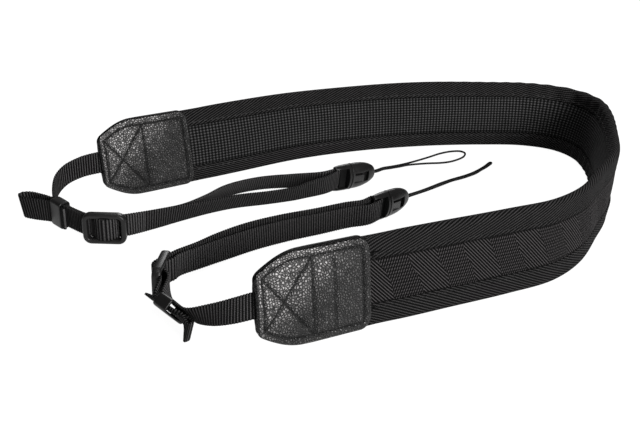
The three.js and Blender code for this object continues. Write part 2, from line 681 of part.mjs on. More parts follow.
// One end of the strap: webbing, keeper, triglide, buckle and cord loop.
function addStrapEnd(design, cordRoute) {
  const { name, outside } = design;
  const { rows, keeperPlace } = strapRows(design);
  const route = makeRoute(rows, ['lean', 'pitch', 'inner', 'outer']);
  const stations = [
    ...layerStations(route, outside, 'inner', 0, route.last),
    ...wrapStations(route, outside),
    ...layerStations(route, outside, 'outer', route.last, keeperPlace + 1),
    ...tailStations(design),
  ];
  addPiece(`${name}_webbing`, strip(stations), MATERIALS.webbing);
  addPiece(`${name}_keeper`, keeperRing(), MATERIALS.plastic, placed(design.keeper, KEEPER_CENTRE_Z));
  addPiece(`${name}_triglide`, triglideFrame(), MATERIALS.plastic, placed(design.triglide, TRIGLIDE_CENTRE_Z));
  const { direction } = route.at(route.last);
  const heading = THREE.MathUtils.radToDeg(Math.atan2(direction.y, direction.x));
  const buckle = new THREE.Group();
  buckle.rotation.y = THREE.MathUtils.degToRad(BUCKLE_TILT);
  placed({ ...design.bar, heading }, BUCKLE_BAR_Z).add(buckle);
  addPiece(`${name}_buckle_cuff`, buckleCuff(), MATERIALS.plastic, buckle);
  addPiece(`${name}_buckle_hood`, buckleHood(), MATERIALS.plastic, buckle);
  addPiece(`${name}_cord_loop`, cordLoop(cordRoute, buckle), MATERIALS.cord);
}

addStrapEnd(FRONT_STRAP, FRONT_CORD_ROUTE);
addStrapEnd(BACK_STRAP, BACK_CORD_ROUTE);

// The origin is the bottom centre of everything but the cord loops.
const bounds = new THREE.Box3();
for (const piece of strap.children) {
  if (!piece.name.endsWith('cord_loop')) {
    bounds.expandByObject(piece, true);
  }
}
const centre = bounds.getCenter(new THREE.Vector3());
strap.position.set(-centre.x, -centre.y, -bounds.min.z);

export default strap;
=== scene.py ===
# %% [markdown]
# Camera neck strap, dressed in Blender
#
# The strap is a padded band that stands on its edge in a U. Each end has a leather tab, and from each tab
# runs a narrow webbing strap with a keeper, a triglide and a small quick-release buckle on a cord loop.
# The packed CAD model gives the frame: every piece below is modelled at full size in that frame, in metres.

import math

import bmesh
import bpy
import numpy as np
from mathutils import Matrix, Vector


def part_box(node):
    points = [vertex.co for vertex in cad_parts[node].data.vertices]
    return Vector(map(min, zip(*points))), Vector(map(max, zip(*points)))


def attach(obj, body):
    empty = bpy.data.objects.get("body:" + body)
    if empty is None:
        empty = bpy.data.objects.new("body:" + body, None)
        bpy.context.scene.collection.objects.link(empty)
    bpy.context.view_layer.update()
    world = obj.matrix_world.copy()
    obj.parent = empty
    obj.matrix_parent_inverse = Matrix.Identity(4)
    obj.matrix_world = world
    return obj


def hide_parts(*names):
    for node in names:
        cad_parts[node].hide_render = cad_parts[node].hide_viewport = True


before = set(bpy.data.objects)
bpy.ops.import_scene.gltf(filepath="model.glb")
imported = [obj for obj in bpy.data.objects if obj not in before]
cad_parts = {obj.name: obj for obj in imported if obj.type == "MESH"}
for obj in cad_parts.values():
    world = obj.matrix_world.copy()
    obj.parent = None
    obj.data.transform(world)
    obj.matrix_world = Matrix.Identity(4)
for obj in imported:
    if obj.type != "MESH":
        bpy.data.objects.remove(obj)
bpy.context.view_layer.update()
print("CAD nodes:", len(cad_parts))

# %% [markdown]
# Millimetres are easier to read than metres for a thing this small, so tables are in millimetres and
# one factor turns them into Blender's metres. The CAD model moves its origin to the middle of the strap,
# and the front keeper, which is symmetrical, tells how far.

# %% Units and origin
MM = 0.001
FRONT_KEEPER_PLAN = Vector((-123.5, -53.5)) * MM
keeper_low, keeper_high = (Vector(corner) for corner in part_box("front_keeper"))
ORIGIN_SHIFT = (keeper_low + keeper_high).xy / 2 - FRONT_KEEPER_PLAN
print("origin shift in mm:", [round(value / MM, 2) for value in ORIGIN_SHIFT])


def in_frame(x, y, z):
    """A point given in millimetres before the origin was moved, as metres in the frame."""
    return Vector((x * MM + ORIGIN_SHIFT.x, y * MM + ORIGIN_SHIFT.y, z * MM))


# %% [markdown]
# The camera stands where the photographer's did. A camera could be aimed with a Track To constraint, but
# heading, downward tilt and a slight roll were found one by one, and three plain rotations say so.

# %% Camera
CAMERA_PLACE_MM = (-190.193, -315.544, 197.1)
CAMERA_HEADING = 27.0
CAMERA_DOWN = 28.0
CAMERA_ROLL = 3.6
FOCAL_PIXELS = 800
IMAGE_WIDTH = 640
SENSOR_MM = 36


def new_object(name, data):
    thing = bpy.data.objects.new(name, data)
    bpy.context.scene.collection.objects.link(thing)
    return thing


camera_data = bpy.data.cameras.new("camera")
camera_data.sensor_width = SENSOR_MM
camera_data.lens = SENSOR_MM * FOCAL_PIXELS / IMAGE_WIDTH
camera = new_object("camera", camera_data)
bpy.context.scene.camera = camera
aim = Matrix.Rotation(math.radians(-CAMERA_HEADING), 4, "Z")
aim = aim @ Matrix.Rotation(math.radians(90 - CAMERA_DOWN), 4, "X")
aim = aim @ Matrix.Rotation(math.radians(CAMERA_ROLL), 4, "Z")
camera.matrix_world = Matrix.Translation(in_frame(*CAMERA_PLACE_MM)) @ aim
print("lens in mm:", camera_data.lens)

# %% [markdown]
# Finishes are node trees. Adding every Math node by hand hides the formula, so a small class wraps a socket:
# writing `1 - mask` then adds the Math node by itself.

# %% Shader values
class Value:
    """A socket that takes part in Python expressions."""

    def __init__(self, finish, socket):
        self.finish = finish
        self.socket = socket

    def math(self, operation, *others):
        sockets = dict(enumerate((self, *others)))
        return self.finish.node("ShaderNodeMath", {"operation": operation}, sockets)

    def __add__(self, other):
        return self.math("ADD", other)

    def __sub__(self, other):
        return self.math("SUBTRACT", other)

    def __rsub__(self, other):
        return (self * -1) + other

    def __mul__(self, other):
        return self.math("MULTIPLY", other)

    __radd__ = __add__
    __rmul__ = __mul__

    def wave(self, pitch):
        """A smooth 0 to 1 wave that repeats each pitch."""
        return (self * (2 * math.pi / pitch)).math("SINE") * 0.5 + 0.5

    def clamp(self, low, high):
        return self.math("MAXIMUM", low).math("MINIMUM", high)


print("a shader value offers:", [name for name in vars(Value) if not name.startswith("_")])

# %% [markdown]
# Every other node comes from one method, which sets a node's settings first and then its sockets. The other
# methods are the few things that most finishes here need. Steady values go straight on the shader.

# %% Finishes as node trees
class Finish:
    """A material with a Principled shader, built up node by node."""

    def __init__(self, name, **shader):
        self.material = bpy.data.materials.new(name)
        self.material.use_nodes = True
        self.tree = self.material.node_tree
        self.shader = self.tree.nodes["Principled BSDF"]
        for socket, value in shader.items():
            self.shader.inputs[socket.replace("_", " ")].default_value = value

    def node(self, kind, settings=None, sockets=None, output=0):
        made = self.tree.nodes.new(kind)
        for key, value in (settings or {}).items():
            setattr(made, key, value)
        for key, value in (sockets or {}).items():
            if isinstance(value, Value):
                self.tree.links.new(value.socket, made.inputs[key])
            else:
                made.inputs[key].default_value = value
        return Value(self, made.outputs[output])

    def surface_uv(self):
        """Distance along and across the cloth, in metres."""
        uv = self.node("ShaderNodeUVMap", {"uv_map": "cloth"})
        split = self.node("ShaderNodeSeparateXYZ", sockets={0: uv})
        return split, Value(self, split.socket.node.outputs[1])

    def place(self):
        return self.node("ShaderNodeTexCoord", output="Object")

    def noise(self, vector, size, detail=2.0):
        sockets = {"Vector": vector, "Scale": 1 / size, "Detail": detail}
        return self.node("ShaderNodeTexNoise", sockets=sockets)

    def painted_tape_shadow(self, across, half_width, start):
        """Painted shadow of the edge tapes, growing towards both sewn-in edges; start is a share of the half
        width, squared.
        """
        outwards = (across - half_width) * (1 / half_width)
        return ((outwards * outwards - start) * 7).clamp(0.0, 0.9)

    def feed(self, socket, value):
        self.tree.links.new(value.socket, self.shader.inputs[socket])

    def colour(self, factor, dark, light):
        """A base colour between two colours, each given as (red, green, blue)."""
        sockets = {0: factor, 6: (*dark, 1), 7: (*light, 1)}
        self.feed("Base Color", self.node("ShaderNodeMix", {"data_type": "RGBA"}, sockets, output=2))

    def bump(self, height, depth):
        self.feed("Normal", self.node("ShaderNodeBump", sockets={"Height": height, "Distance": depth}))


print("a finish offers:", [name for name in vars(Finish) if not name.startswith("_")])

# %% [markdown]
# Twill tape is woven so that its threads step sideways, which shows as fine slanting ribs. The cloth pieces
# carry their own map in metres, so a sine of the slanted distance draws ribs that follow every bend.

# %% Twill tape finish
TWILL_SLANT = math.radians(24)
TWILL_PITCH = 1.2 * MM
TWILL_THREAD = 0.8 * MM


def twill_finish():
    finish = Finish("black_twill_tape", Roughness=0.85, Specular_IOR_Level=0.06)
    along, across = finish.surface_uv()
    slanted = across * math.cos(TWILL_SLANT) - along * math.sin(TWILL_SLANT)
    lengthwise = along * math.cos(TWILL_SLANT) + across * math.sin(TWILL_SLANT)
    ribs = slanted.wave(TWILL_PITCH)
    threads = lengthwise.wave(TWILL_THREAD)
    dust = finish.noise(finish.place(), 6 * MM, 3.0)
    height = ribs * 0.65 + ribs * threads * 0.35
    # The grooves between the ribs are painted darker as shade; the dust noise varies the tone.
    pale = height * height * (dust * 0.6 + 0.8)
    finish.colour(pale, (0.0005, 0.0005, 0.0005), (0.045, 0.043, 0.0435))
    finish.bump(height, 0.35 * MM)
    return finish.material


twill = twill_finish()
print("finish:", twill.name)

# %% [markdown]
# The outside band is a coarse canvas whose ribs change direction every centimetre or so, as in a
# herringbone. A nearly square wave along the strap chooses between two slants.

# %% Herringbone canvas finish
CANVAS_HALF_WIDTH = 11.4 * MM
HERRINGBONE_PERIOD = 27 * MM
HERRINGBONE_DOWN = math.radians(-46)
HERRINGBONE_UP = math.radians(68)
CANVAS_PITCH = 1.15 * MM


def canvas_finish():
    finish = Finish("black_herringbone_canvas", Roughness=0.85, Specular_IOR_Level=0.06)
    along, across = finish.surface_uv()
    down = (across * math.cos(HERRINGBONE_DOWN) - along * math.sin(HERRINGBONE_DOWN)).wave(CANVAS_PITCH)
    up = (across * math.cos(HERRINGBONE_UP) - along * math.sin(HERRINGBONE_UP)).wave(CANVAS_PITCH)
    dots = up * (across.wave(1.3 * CANVAS_PITCH) * 0.8 + 0.6)
    drift = finish.noise(finish.place(), 14 * MM)
    turns = (along + across * 0.45 + drift * 0.006).wave(HERRINGBONE_PERIOD)
    chooser = ((turns - 0.5) * 14 + 0.5).clamp(0.0, 1.0)
    height = down * chooser + dots * (1 - chooser)
    # The grooves are painted darker as shade, and a painted shadow darkens the canvas along the tapes.
    pale = height * height * height * (1 - finish.painted_tape_shadow(across, CANVAS_HALF_WIDTH, 0.6))
    finish.colour(pale, (0.001, 0.0009, 0.00095), (0.06, 0.056, 0.057))
    finish.bump(height, 0.4 * MM)
    return finish.material


canvas = canvas_finish()
print("finish:", canvas.name)

# %% [markdown]
# The neck side is a padded open mesh: plump yarns cross in a grid and leave dark holes. Two waves at right
# angles give the yarns, and their sum is lowest in the holes.

# %% Mesh lining finish
LINING_HALF_WIDTH = 13 * MM
MESH_PITCH_ALONG = 2.0 * MM
MESH_PITCH_ACROSS = 1.55 * MM


def lining_finish():
    finish = Finish("black_padded_mesh", Roughness=0.85, Specular_IOR_Level=0.06)
    along, across = finish.surface_uv()
    yarns_along = along.wave(MESH_PITCH_ALONG)
    yarns_across = across.wave(MESH_PITCH_ACROSS)
    height = yarns_along * 0.35 + yarns_across * 0.3 + yarns_along * yarns_across * 0.35
    wear = finish.noise(finish.place(), 9 * MM)
    # The holes are painted darker as shade, a noise varies the tone, and a painted shadow darkens the mesh
    # along the tapes.
    pale = height * height * (wear * 0.6 + 1.0) * (1 - finish.painted_tape_shadow(across, LINING_HALF_WIDTH, 0.62))
    finish.colour(pale, (0.0005, 0.0005, 0.0005), (0.062, 0.061, 0.0615))
    finish.bump(height, 0.4 * MM)
    return finish.material


lining = lining_finish()
print("finish:", lining.name)

# %% [markdown]
# The webbing's cross ribs are modelled in its mesh. Its finish adds the warp threads that cross them, and
# paints the grooves between the ribs darker, as shade.

# %% Webbing finish
WARP_PITCH = 0.75 * MM
RIB_PITCH = 1.3 * MM


def webbing_finish():
    finish = Finish("black_ribbed_webbing", Roughness=0.8, Specular_IOR_Level=0.08)
    along, across = finish.surface_uv()
    warp = across.wave(WARP_PITCH)
    fuzz = finish.noise(finish.place(), 1.2 * MM)
    ribs = along.wave(RIB_PITCH)
    height = warp * 0.4 + fuzz * 0.2 + ribs * 0.4
    # The grooves between the ribs are painted darker as shade; the warp and fuzz vary the tone.
    pale = ribs * ribs * ribs * ribs * (warp * 0.5 + fuzz * 0.4 + 0.3)
    finish.colour(pale, (0.0003, 0.0003, 0.0003), (0.085, 0.082, 0.083))
    finish.bump(height, 0.15 * MM)
    return finish.material


webbing_cloth = webbing_finish()
print("finish:", webbing_cloth.name)

# %% [markdown]
# Pebbled leather is a skin of small rounded cells. A Voronoi texture's distance to the cell edges gives the
# valleys, which are painted darker as shade, and a noise makes some pebbles paler than others. Two marks come
# with the mesh: "seam", where sewing presses the leather in, and a painted highlight that pales its top and
# narrow end.

# %% Leather finish
PEBBLE_SIZE = 1.15 * MM


def leather_finish():
    finish = Finish("pebbled_leather", Roughness=0.4, Specular_IOR_Level=0.25)
    place = finish.place()
    wobble = finish.noise(place, 3.5 * MM)
    sockets = {"Vector": place, "Scale": 1 / PEBBLE_SIZE, "Randomness": 0.9}
    valley = finish.node("ShaderNodeTexVoronoi", {"feature": "DISTANCE_TO_EDGE"}, sockets)
    tops = (valley * 2.8).math("MINIMUM", 1.0)
    tops = tops * tops * (3 - tops * 2)
    seam = finish.node("ShaderNodeAttribute", {"attribute_name": "seam"}, output="Fac")
    rubbed = finish.node("ShaderNodeAttribute", {"attribute_name": "rubbed"}, output="Fac")
    # The colour holds painted shade in the valleys, random pebble tone, the painted highlight and the
    # pressed-in seams.
    pebble_tone_and_painted_light = tops * (wobble * 1.3 + 0.05) * (rubbed * 0.84 + 0.16) * (1 - seam)
    finish.colour(pebble_tone_and_painted_light, (0.001, 0.001, 0.001), (0.56, 0.545, 0.54))
    finish.feed("Roughness", 0.5 - tops * 0.15)
    finish.bump(tops, 0.45 * MM)
    return finish.material


leather = leather_finish()
print("finish:", leather.name)

# %% [markdown]
# Moulded nylon has a faint spark-eroded grain, so its highlights are soft but not smeared.

# %% Plastic, thread and cord finishes
def plastic_finish():
    finish = Finish("satin_black_nylon", Roughness=0.36, Specular_IOR_Level=0.25)
    place = finish.place()
    grain = finish.noise(place, 0.4 * MM, 3.0)
    handling = finish.noise(place, 7 * MM)
    finish.colour(handling, (0.005, 0.0048, 0.0048), (0.011, 0.0105, 0.0106))
    finish.feed("Roughness", grain * 0.16 + handling * 0.1 + 0.24)
    finish.bump(grain, 0.02 * MM)
    return finish.material


def thread_finish(name, dark, light):
    finish = Finish(name, Roughness=0.6, Specular_IOR_Level=0.12)
    place = finish.place()
    twist = finish.noise(place, 0.5 * MM)
    finish.colour(twist, dark, light)
    finish.bump(twist, 0.06 * MM)
    return finish.material


plastic = plastic_finish()
thread = thread_finish("black_sewing_thread", (0.003, 0.003, 0.003), (0.012, 0.0118, 0.0118))
seam_thread = thread_finish("grey_worn_thread", (0.015, 0.015, 0.015), (0.06, 0.059, 0.059))
cord_braid = thread_finish("black_cord_braid", (0.003, 0.003, 0.003), (0.012, 0.012, 0.012))
# Black paint for the leather's cut edges; inside the keepers and buckle slots it is painted shade.
black_for_edges_and_shade = thread_finish("black_paint_for_edges_and_shade", (0.001, 0.001, 0.001), (0.003, 0.003, 0.003))
print("finishes:", plastic.name, thread.name, cord_braid.name)

# %% [markdown]
# A soft strap is a line with a cross-section, so the next helper draws a smooth line through the rows of a
# table. Blender's curves could do it, but here other columns, such as the lean, have to run along as
# smoothly as the place does.

# %% Smooth routes
class Route:
    """A smooth line through table rows whose first three columns are a place in millimetres."""

    SAMPLES = 24

    def __init__(self, rows, columns):
        self.columns = columns
        rows = np.array(rows, dtype=float)
        rows = np.vstack([2 * rows[0] - rows[1], rows, 2 * rows[-1] - rows[-2]])
        steps = np.linspace(0, 1, self.SAMPLES, endpoint=False)[:, None]
        spans = [self.span(rows[i : i + 4], steps) for i in range(len(rows) - 3)]
        self.table = np.vstack([*spans, rows[-2][None]])
        self.starts = np.arange(len(spans) + 1) * self.SAMPLES
        hops = np.linalg.norm(np.diff(self.table[:, :3], axis=0), axis=1)
        self.distance = np.concatenate([[0], np.cumsum(hops)])
        self.length = self.distance[-1]
        slope = np.gradient(self.table[:, :2], self.distance, axis=0)
        self.slope = slope / np.linalg.norm(slope, axis=1, keepdims=True)

    @staticmethod
    def span(rows, steps):
        """One centripetal Catmull-Rom span between the middle two of four rows."""
        before, start, end, after = rows
        gaps = np.sqrt(np.linalg.norm(np.diff(rows[:, :3], axis=0), axis=1))
        leave = (start - before) / gaps[0] - (end - before) / (gaps[0] + gaps[1]) + (end - start) / gaps[1]
        reach = (end - start) / gaps[1] - (after - start) / (gaps[1] + gaps[2]) + (after - end) / gaps[2]
        leave, reach = leave * gaps[1], reach * gaps[1]
        cubic = 2 * start - 2 * end + leave + reach
        square = -3 * start + 3 * end - 2 * leave - reach
        return start + leave * steps + square * steps**2 + cubic * steps**3

    def row_distance(self, row):
        return self.distance[self.starts[row]]

    def at(self, distance):
        """Places, plan directions, left-hand normals and the other columns at these distances."""
        values = np.stack([np.interp(distance, self.distance, column) for column in self.table.T], -1)
        direction = np.stack([np.interp(distance, self.distance, column) for column in self.slope.T], -1)
        direction /= np.linalg.norm(direction, axis=-1, keepdims=True)
        flat = np.zeros_like(direction[..., :1])
        left = np.concatenate([-direction[..., 1:], direction[..., :1], flat], -1)
        ahead = np.concatenate([direction, flat], -1)
        extra = {name: values[..., 3 + i] for i, name in enumerate(self.columns)}
        return values[..., :3], ahead, left, extra


print("samples between two rows:", Route.SAMPLES)

# %% [markdown]
# The pad's foot follows one line on the floor, and its top edge leans in or out along the way, as a band on
# its edge does where it is bent. The rows are those of the CAD source, so the cloth lies where the solids
# are.

# %% The pad's line
# Columns: x, y, z and the lean of the top edge towards the inside of the U, in degrees.
PAD_ROUTE = [
    (-95, -83, 0, 12.2),
    (-70, -82.7, 0, 12.2),
    (-45, -82.3, 0, 12.2),
    (-10, -82.3, 0, 11.8),
    (25, -82.6, 0, 11),
    (52, -81.2, 0, 9),
    (75, -73, 0, 6.5),
    (98, -58, 0, 4.5),
    (120, -41.5, 0, 1.5),
    (140.5, -13, 0, -4.5),
    (155.5, 10, 0, -7.5),
    (161.5, 28, 0, -12.5),
    (158, 43, 0, -18),
    (143.5, 56, 0, -16),
    (116, 66.5, 0, -12.8),
    (77, 76.5, 0, -12.5),
    (37, 82, 0, -13.2),
    (-4, 82.6, 0, -13.7),
    (-45, 77.2, 0, -14),
    (-72, 73.2, 0, -14),
    (-97, 69.8, 0, -14),
    (-122, 66.5, 0, -14),
]
pad_route = Route(PAD_ROUTE, ["lean"])
print("pad route in mm:", round(pad_route.length, 1))

# %% [markdown]
# A place on the pad is given by how far it lies inwards, up and along. Soft steps and bumps then shape the
# cloth: the tabs squash the pad's ends, and their border seams pinch it more.

# %% Places on the pad
UP = np.array([0.0, 0.0, 1.0])


def ease(value, low, high):
    """A smooth step from 0 at low to 1 at high."""
    t = np.clip((value - low) / (high - low), 0, 1)
    return t * t * (3 - 2 * t)


def near(value, centre, width):
    """A soft bump of height 1 round a centre."""
    return np.exp(-(((value - centre) / width) ** 2))


def pad_place(inwards, height, distance):
    """A place on the pad in mm: towards the inside of the U, up its width and along its route."""
    point, _, left, extra = pad_route.at(distance)
    lean = np.radians(extra["lean"])
    sideways = (inwards + height * np.sin(lean))[..., None]
    return point + left * sideways + UP * (height * np.cos(lean))[..., None]


PAD_WIDTH = 40.0
PAD_MIDDLE = 0.25
SQUASH = 0.4
SQUASH_FROM, SQUASH_TO = 44.0, 78.0


def edge_pinch(edge):
    """How much of its thickness a tab's border seam leaves to the pad, by the distance from the edge."""
    return 1 - 0.7 * (1 - ease(edge, 2, 8))


def pad_cloth(inwards, height, distance):
    """A place on the pad's cloth, which the tabs squash thinner towards both ends."""
    from_end = np.minimum(distance, pad_route.length - distance)
    thickness = 1 - SQUASH * (1 - ease(from_end, SQUASH_FROM, SQUASH_TO))
    pinched = 1 - edge_pinch(np.minimum(height, PAD_WIDTH - height))
    thickness *= 1 - pinched * (1 - ease(from_end, 50, 66))
    return pad_place(PAD_MIDDLE + (inwards - PAD_MIDDLE) * thickness, height, distance)


print("share of the pad's thickness left in the tabs:", 1 - SQUASH)

# %% [markdown]
# Cloth starts as a flat grid, as it does on the cutting table. The grid's two directions become distance
# along and across the cloth, which is also its UV map, and one function then lays every vertex in place.
# A Solidify modifier gives the wall.

# %% Laying cloth
def new_mesh(name, shape):
    mesh = bpy.data.meshes.new(name)
    shape.to_mesh(mesh)
    shape.free()
    return mesh


def lay_cloth(name, finish, cells, size, lay, wall, turned=False, marks=None):
    """A grid of cells (along, across), size in mm, put in place by lay(along, across) in mm."""
    shape = bmesh.new()
    shape.loops.layers.uv.new("cloth")
    bmesh.ops.create_grid(shape, x_segments=cells[0], y_segments=cells[1], size=0.5, calc_uvs=True)
    if turned:
        bmesh.ops.reverse_faces(shape, faces=shape.faces[:])
    mesh = new_mesh(name, shape)
    flat = np.empty(len(mesh.vertices) * 3)
    mesh.vertices.foreach_get("co", flat)
    flat = (flat.reshape(-1, 3)[:, :2] + 0.5) * np.array(size)
    shift = np.array([*ORIGIN_SHIFT, 0.0])
    placed = lay(flat[:, 0], flat[:, 1]) * MM + shift
    mesh.vertices.foreach_set("co", placed.ravel())
    corners = np.empty(len(mesh.loops), dtype=int)
    mesh.loops.foreach_get("vertex_index", corners)
    mesh.uv_layers["cloth"].data.foreach_set("uv", (flat[corners] * MM).ravel())
    for mark, strength in (marks or {}).items():
        attribute = mesh.attributes.new(mark, "FLOAT", "POINT")
        attribute.data.foreach_set("value", strength(flat[:, 0], flat[:, 1]))
    return finish_piece(name, mesh, finish, wall)


def finish_piece(name, mesh, finish, wall=None):
    mesh.polygons.foreach_set("use_smooth", [True] * len(mesh.polygons))
    mesh.materials.append(finish)
    mesh.update()
    piece = new_object(name, mesh)
    if wall:
        solidify = piece.modifiers.new("wall", "SOLIDIFY")
        solidify.thickness = wall * MM
        solidify.offset = -1
        solidify.use_even_offset = True
    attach(piece, "root")
    print("made", name, "with", len(mesh.polygons), "faces")
    return piece

# %% [markdown]
# The pad's outside is a canvas band sewn under the two edge tapes. It is a little crowned by the padding
# behind it, and it dips along each tape's seam.

# %% Canvas band
PAD_END_IN_TAB = 26.0
PAD_LENGTH = pad_route.length - 2 * PAD_END_IN_TAB
CANVAS_FACE = -1.55
CANVAS_CROWN = 0.55
CANVAS_LOW, CANVAS_HIGH = 8.6, 31.4
CANVAS_WALL = 0.8


def lay_canvas(along, across):
    height = CANVAS_LOW + across
    bow = 1 - ((height - PAD_WIDTH / 2) / (PAD_WIDTH / 2 - CANVAS_LOW)) ** 2
    ripple = 0.12 * np.sin(along / 9.0) * np.sin(along / 23.0 + height / 7.0)
    return pad_cloth(CANVAS_FACE - CANVAS_CROWN * bow + ripple, height, PAD_END_IN_TAB + along)


canvas_size = (PAD_LENGTH, CANVAS_HIGH - CANVAS_LOW)
canvas_band = lay_cloth("canvas_band", canvas, (640, 16), canvas_size, lay_canvas, CANVAS_WALL)
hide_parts("canvas_band")

# %% [markdown]
# The inside is the padding with its mesh cover. A simulation would swell it evenly, but it is sewn flat at
# both edges, so a crowned section says the same thing with less trouble. The wall reaches back to the canvas.

# %% Mesh lining
LINING_FACE = 1.75
LINING_CROWN = 0.9
LINING_LOW = 7.0
LINING_WALL = 2.4


def lay_lining(along, across):
    height = LINING_LOW + across
    bow = 1 - ((height - PAD_WIDTH / 2) / (PAD_WIDTH / 2 - LINING_LOW)) ** 2
    soft = 0.15 * np.sin(along / 13.0 + 1.0) * np.sin(height / 5.0)
    return pad_cloth(LINING_FACE + LINING_CROWN * bow + soft, height, PAD_END_IN_TAB + along)


lining_size = (PAD_LENGTH, PAD_WIDTH - 2 * LINING_LOW)
mesh_lining = lay_cloth("mesh_lining", lining, (560, 18), lining_size, lay_lining, LINING_WALL, turned=True)
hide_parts("mesh_lining")

# %% [markdown]
# An edge tape is folded over each long edge. Its section is a leg down the outside, a round fold and a leg
# up the inside. Sewing pulls it in at every stitch, it gathers on the inside of the bend, and on the outside
# of the bend the lower tape lifts off the canvas in one long pucker.

# %% Edge tapes
TAPE_OUTER_FACE = -1.95
TAPE_INNER_FACE = 2.45
TAPE_OUTER_REACH = 10.0
TAPE_INNER_REACH = 8.5
TAPE_WALL = 0.7
TAPE_SEAM = 1.6
STITCH_PITCH = 3.6
FOLD_RADIUS = (TAPE_INNER_FACE - TAPE_OUTER_FACE) / 2
FOLD_CENTRE = (TAPE_INNER_FACE + TAPE_OUTER_FACE) / 2
OUTER_LEG = TAPE_OUTER_REACH - FOLD_RADIUS
FOLD_ARC = math.pi * FOLD_RADIUS
INNER_LEG = TAPE_INNER_REACH - FOLD_RADIUS
TAPE_GIRTH = OUTER_LEG + FOLD_ARC + INNER_LEG
BEND_TIP = pad_route.row_distance(11)
PUCKER = (pad_route.row_distance(7) + 12, pad_route.row_distance(10) + 8)


def tape_section(across):
    """Inwards and height of the tape's section, with its outward direction, at a distance round it."""
    angle = np.clip((across - OUTER_LEG) / FOLD_RADIUS, 0, math.pi)
    climb = np.maximum(across - OUTER_LEG - FOLD_ARC, 0)
    drop = np.minimum(across, OUTER_LEG)
    inwards = FOLD_CENTRE - FOLD_RADIUS * np.cos(angle)
    height = TAPE_OUTER_REACH - drop - FOLD_RADIUS * np.sin(angle) + climb
    return inwards, height, -np.cos(angle), -np.sin(angle)


def lay_tape(top):
    def lay(along, across):
        distance = PAD_END_IN_TAB + along
        inwards, height, out_in, out_up = tape_section(across)
        stitch = 0.6 + 0.4 * np.cos(2 * math.pi * along / STITCH_PITCH)
        seams = near(across, TAPE_SEAM, 0.9) + near(across, TAPE_GIRTH - TAPE_SEAM, 0.9)
        swell = -0.3 * seams * stitch
        bend = near(distance, BEND_TIP, 62)
        inside = ease(across, OUTER_LEG + FOLD_ARC * 0.6, OUTER_LEG + FOLD_ARC)
        gathers = np.sin(2 * math.pi * distance / 8.5 + 0.8 * np.sin(distance / 11))
        swell += 0.55 * bend * inside * gathers * (1 - 0.6 * ease(across, TAPE_GIRTH - 3, TAPE_GIRTH))
        swell += 0.2 * np.sin(distance / 17 + 2 * top) * np.sin(across / 4)
        fold = ease(across, OUTER_LEG * 0.5, OUTER_LEG) * (1 - inside)
        sway = 0.25 * np.sin(distance / 21 + top) + 0.35 * bend * gathers
        if top:
            height = PAD_WIDTH - height + fold * sway * 0.6
            out_up = -out_up
        else:
            lift = ease(distance, PUCKER[0], PUCKER[0] + 30)
            lift *= 1 - ease(distance, PUCKER[1] - 24, PUCKER[1])
            swell += 1.3 * lift * (1 - ease(across, 0.5, 6))
            swell *= 1 - fold
        return pad_cloth(inwards + swell * out_in, height + swell * out_up, distance)

    return lay


def edge_tape(name, top):
    size = (PAD_LENGTH, TAPE_GIRTH)
    piece = lay_cloth(name, twill, (720, 30), size, lay_tape(top), TAPE_WALL, turned=not top)
    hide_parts(name)
    return piece


edge_tape_top = edge_tape("edge_tape_top", 1)
edge_tape_bottom = edge_tape("edge_tape_bottom", 0)

# %% [markdown]
# Sewing thread shows as a row of short raised stitches. One stitch is a stretched low sphere, and a loop
# sets one at every pitch along a seam, turned to the seam and to the surface that it lies on.

# %% Stitches
STITCH_LENGTH = 2.5
THREAD_WIDTH = 0.5


def add_stitch(shape, start, end, outward, width):
    run = end - start
    run_length = run.length
    ahead = run / run_length
    side = outward.cross(ahead).normalized()
    outward = ahead.cross(side)
    axes = (ahead * (run_length / 2), side * (width / 2), outward * (width * 0.4))
    place = Matrix.Translation((start + end) / 2) @ Matrix(axes).transposed().to_4x4()
    bmesh.ops.create_uvsphere(shape, u_segments=6, v_segments=5, radius=1, matrix=place)


def sew(shape, surface, seam, pitch, length, width=THREAD_WIDTH):
    """Stitches along a seam. surface(place) gives a point in mm and its outward direction."""
    steps = int(np.linalg.norm(np.subtract(seam[1], seam[0])) / pitch)
    for i in range(steps):
        middle = (i + 0.5) / steps
        half = length / pitch / steps / 2
        ends = [np.array(seam[0]) * (1 - t) + np.array(seam[1]) * t for t in (middle - half, middle + half)]
        (start, outward), (end, _) = (surface(place) for place in ends)
        add_stitch(shape, in_frame(*start), in_frame(*end), Vector(outward), width * MM)


def stitch_piece(name, shape, finish):
    return finish_piece(name, new_mesh(name, shape), finish)


print("stitch length in mm:", STITCH_LENGTH)

# %% [markdown]
# Four rows of stitches hold the tapes, two on each broad face of the pad. The thread on the inside has worn
# grey, so those rows show more.

# %% Pad stitches
def pad_surface(face, side):
    """Points on one broad face of the pad, given as distance and height."""

    def surface(place):
        distance, height = np.array([place[0]]), np.array([place[1]])
        inwards = np.array([face])
        left = pad_route.at(distance)[2][0]
        return pad_cloth(inwards, height, distance)[0], left * side

    return surface


SEAM_START = 52.0
THREAD_LIFT = 0.15


def pad_stitches(name, face, side, reach, width, finish):
    """Two rows of stitches on one broad face of the pad, one along each tape."""
    shape = bmesh.new()
    surface = pad_surface(face - side * THREAD_LIFT, side)
    for height in (reach - TAPE_SEAM, PAD_WIDTH - reach + TAPE_SEAM):
        seam = ((SEAM_START, height), (pad_route.length - SEAM_START, height))
        sew(shape, surface, seam, STITCH_PITCH, STITCH_LENGTH, width)
    stitch_piece(name, shape, finish)


pad_stitches("pad_outside_stitches", TAPE_OUTER_FACE, -1, TAPE_OUTER_REACH, 0.4, thread)
pad_stitches("pad_inside_stitches", TAPE_INNER_FACE, 1, TAPE_INNER_REACH, 0.45, seam_thread)

